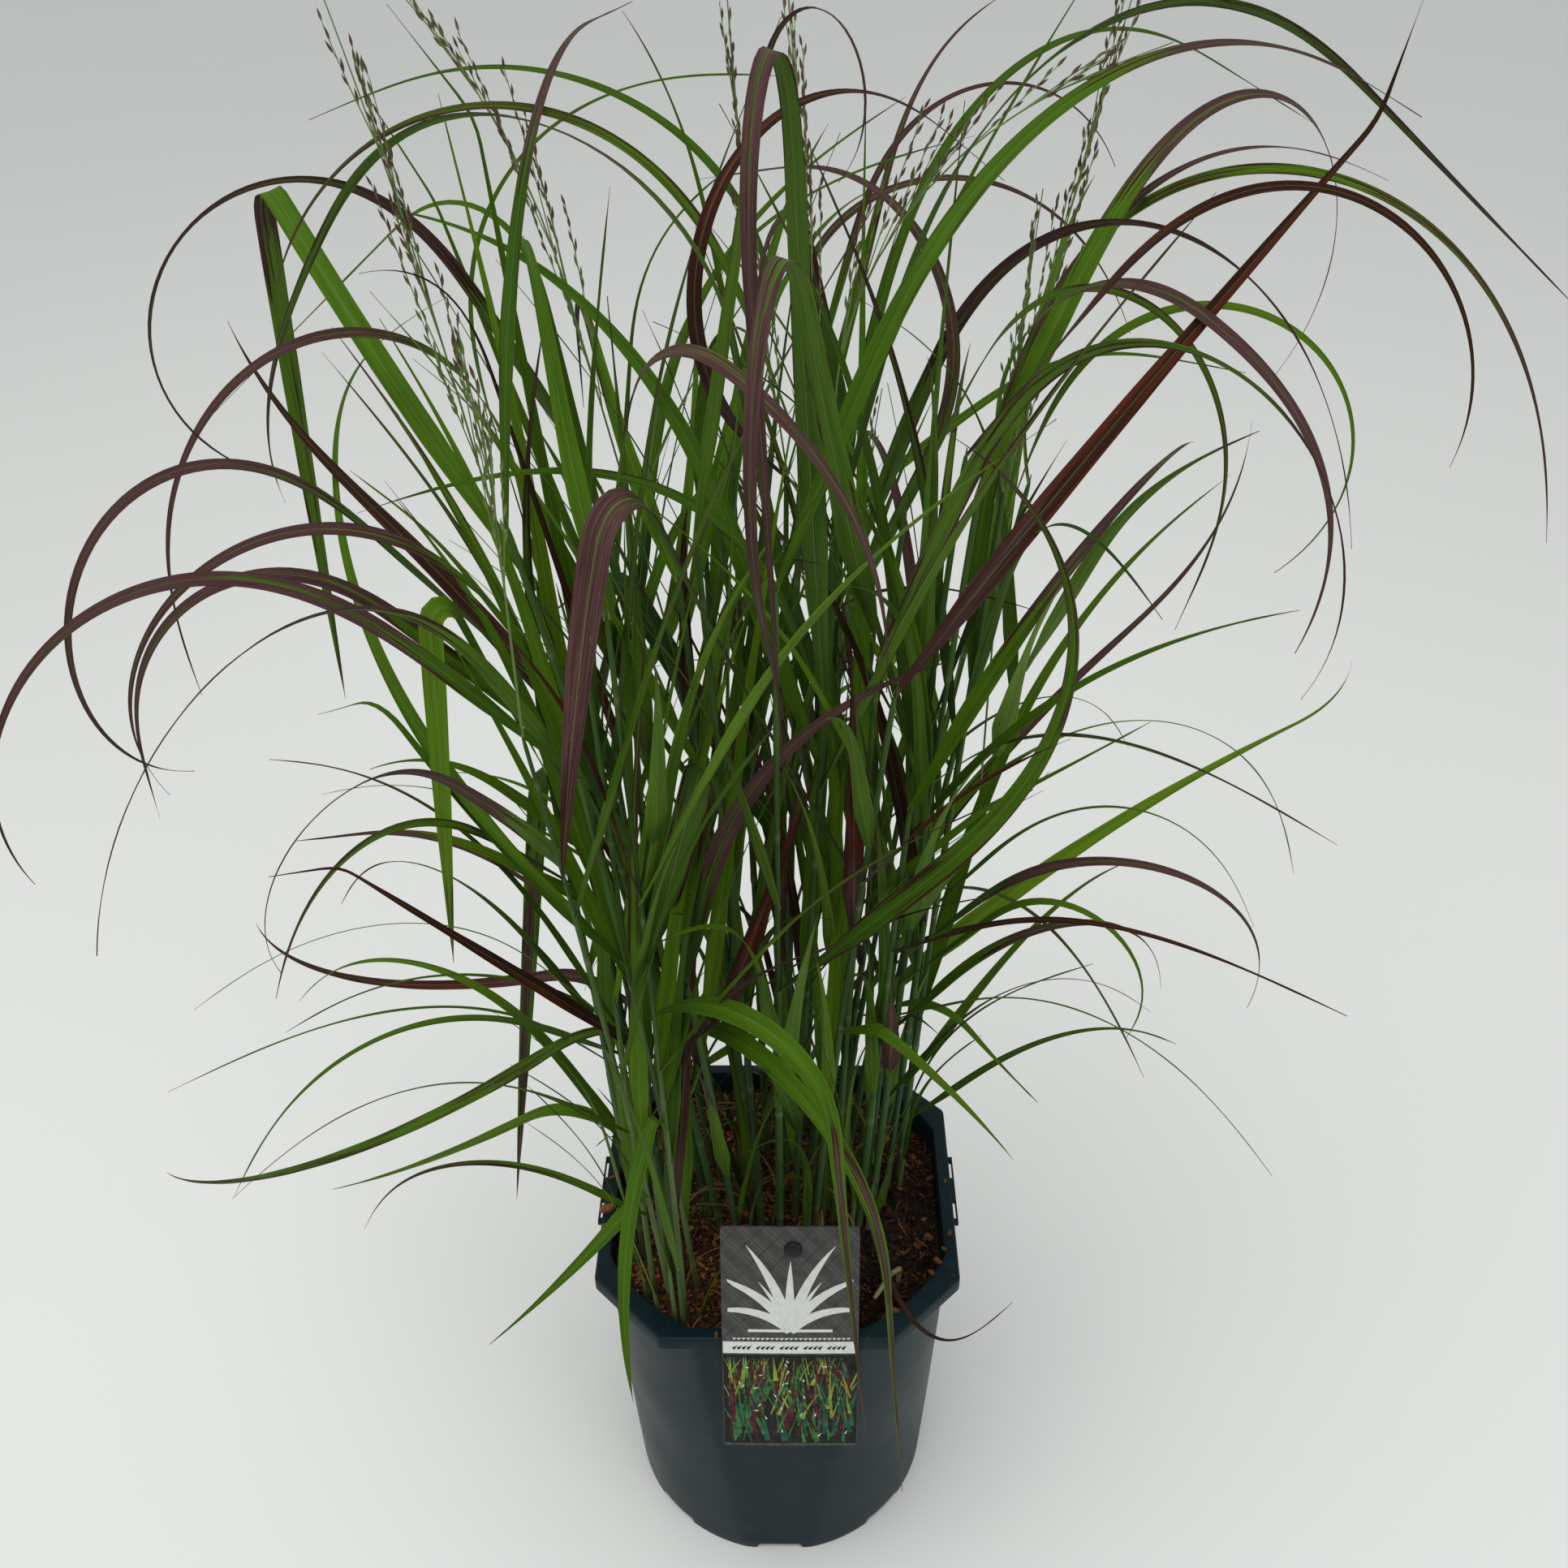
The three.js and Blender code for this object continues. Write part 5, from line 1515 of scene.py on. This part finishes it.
def blade_panel(piece):
    """A panel of crowded blades, green low down and red higher up, with pale specks."""
    limits = (CARD_LEFT + 0.6, CARD_RIGHT - 0.6, -129.2, -75.2)
    low_kinds, high_kinds = (TEAL, GREEN, TEAL, RED, GREEN, TEAL), (RED, LIME, RED, GREEN, RED, LIME)
    draw = sequence(PRINT_SEED)
    for k in range(230):
        length = 12 + 26 * draw() ** 1.2
        rise = draw()
        foot = (mixed(CARD_LEFT + 3, CARD_RIGHT - 3, draw()), mixed(-129, -84, rise))
        kind = (high_kinds if draw() < rise else low_kinds)[int(6 * draw())]
        angle, width, bend = swing(draw, 0.8), 0.8 + 2.0 * draw() ** 2, swing(draw, 0.9)
        length = min(length, -76 - foot[1])
        printed_blade(piece, foot, angle, length, width, bend, 0.07 + 0.0006 * k, kind, limits)
    for _ in range(24):
        foot = (mixed(CARD_LEFT + 3, CARD_RIGHT - 3, draw()), mixed(-126, -79, draw()))
        printed_blade(piece, foot, 6 * draw(), 1.6 + draw(), 0.7, 0.4, 0.21, WHITE, limits)


def card_print():
    piece = Piece()
    white_tuft(piece)
    rectangle(piece, 21, -61, -59.4, WHITE)
    rectangle(piece, CARD_WIDTH / 2 - 0.4, -73.8, -66.8, WHITE)
    rectangle(piece, CARD_WIDTH / 2 - 0.4, -129.4, -74.8, DARK)
    seed_rows(piece)
    blade_panel(piece)
    materials = [
        ink("ink_white", (0.6, 0.62, 0.6), (0.66, 0.68, 0.66)),
        ink("ink_dark", (0.006, 0.007, 0.006), (0.018, 0.018, 0.015)),
        ink("ink_red", (0.04, 0.005, 0.008), (0.11, 0.013, 0.019)),
        ink("ink_green", (0.018, 0.085, 0.016), (0.055, 0.19, 0.04)),
        ink("ink_lime", (0.14, 0.2, 0.03), (0.25, 0.3, 0.05)),
        ink("ink_teal", (0.008, 0.06, 0.032), (0.02, 0.12, 0.07)),
    ]
    piece.make("label_print", materials, "card_face", sharp=60)


def make_stake():
    """A flat bar in the soil behind the card, and a pin with a domed head through the card."""
    half, thin, soft, bar_y = 3.0, 1.2, 0.5, -78.4
    outline = []
    for quarter, (right, front) in enumerate(((1, 1), (-1, 1), (-1, -1), (1, -1))):
        for k in range(4):
            angle = math.radians(90 * quarter + 30 * k)
            x, y = right * (half - soft), front * (thin - soft)
            outline.append((x + soft * math.cos(angle), y + soft * math.sin(angle)))
    levels = [(169.5, 0.35), (175.5, 1.0), (271.1, 1.0), (271.8, 0.9), (272, 0.75)]
    bar = [Vector((PIN_X + x * scale, bar_y + y * scale, z)) for z, scale in levels for x, y in outline]
    piece = Piece()
    piece.add(bar, skin(len(levels), len(outline)))

    sides = 28
    profile = [
        (2.0, 3.2), (2.0, -0.85), (4.1, -0.85), (4.5, -1.15), (4.45, -1.7), (3.9, -2.35), (2.6, -2.75),
        (0.9, -2.85),
    ]
    pin = []
    for radius, y in profile:
        pin += circle(Vector((PIN_X, y, -PIN_DOWN)), Vector((1, 0, 0)), Vector((0, 0, 1)), radius, sides)
    piece.add([CARD_TOP + CARD_TURN @ point for point in pin], skin(len(profile), sides))
    piece.make("label_stake_and_pin", [black_plastic()], "stake_plastic", "label_stake", sharp=35)


card_sheet()
card_print()
make_stake()


# ---- floor, light and camera ----

def make_floor():
    reach = 30
    corners = [(-reach, -reach, 0), (reach, -reach, 0), (reach, reach, 0), (-reach, reach, 0)]
    mesh = bpy.data.meshes.new("floor")
    mesh.from_pydata(corners, [], [(0, 1, 2, 3)])
    mesh.materials.append(floor_material())
    floor = bpy.data.objects.new("floor", mesh)
    bpy.context.scene.collection.objects.link(floor)


def area_light(name, place, size, power, colour):
    """A round lamp that faces the clump."""
    target = Vector((0, 0, 0.3))
    lamp = bpy.data.lights.new(name, "AREA")
    lamp.shape = "DISK"
    lamp.size = size
    lamp.energy = power
    lamp.color = colour
    light = bpy.data.objects.new(name, lamp)
    light.location = place
    light.rotation_mode = "QUATERNION"
    light.rotation_quaternion = (target - Vector(place)).to_track_quat("-Z", "Y")
    bpy.context.scene.collection.objects.link(light)


def make_lights():
    world = bpy.data.worlds.new("studio")
    world.use_nodes = True
    background = world.node_tree.nodes["Background"]
    background.inputs["Color"].default_value = (0.975, 1.0, 0.985, 1)
    background.inputs["Strength"].default_value = 0.62
    bpy.context.scene.world = world
    area_light("ceiling", (-0.5, -0.6, 2.6), 2.4, 34, (1.0, 1.0, 0.985))
    area_light("fill", (1.6, -1.6, 1.5), 1.6, 8, (0.97, 1.0, 1.0))


def make_camera():
    """The photo's own view, worked out from the pot's lip and foot and the card, in metres."""
    place = (0.01158537, -0.57463415, 0.89232927)
    forward = Vector((-0.00969187, 0.81658404, -0.57714519))
    right = Vector((0.99995292, 0.00763728, -0.00598624))
    camera = bpy.data.cameras.new("camera")
    camera.lens = 36
    camera.sensor_width = 36
    camera.sensor_fit = "HORIZONTAL"
    camera.clip_start = 0.02
    camera.clip_end = 100
    body = bpy.data.objects.new("camera", camera)
    spin = Matrix((right, right.cross(forward), -forward)).transposed()
    body.matrix_world = Matrix.Translation(place) @ spin.to_4x4()
    scene = bpy.context.scene
    scene.collection.objects.link(body)
    scene.camera = body
    scene.view_settings.view_transform = "Standard"


make_floor()
make_lights()
make_camera()
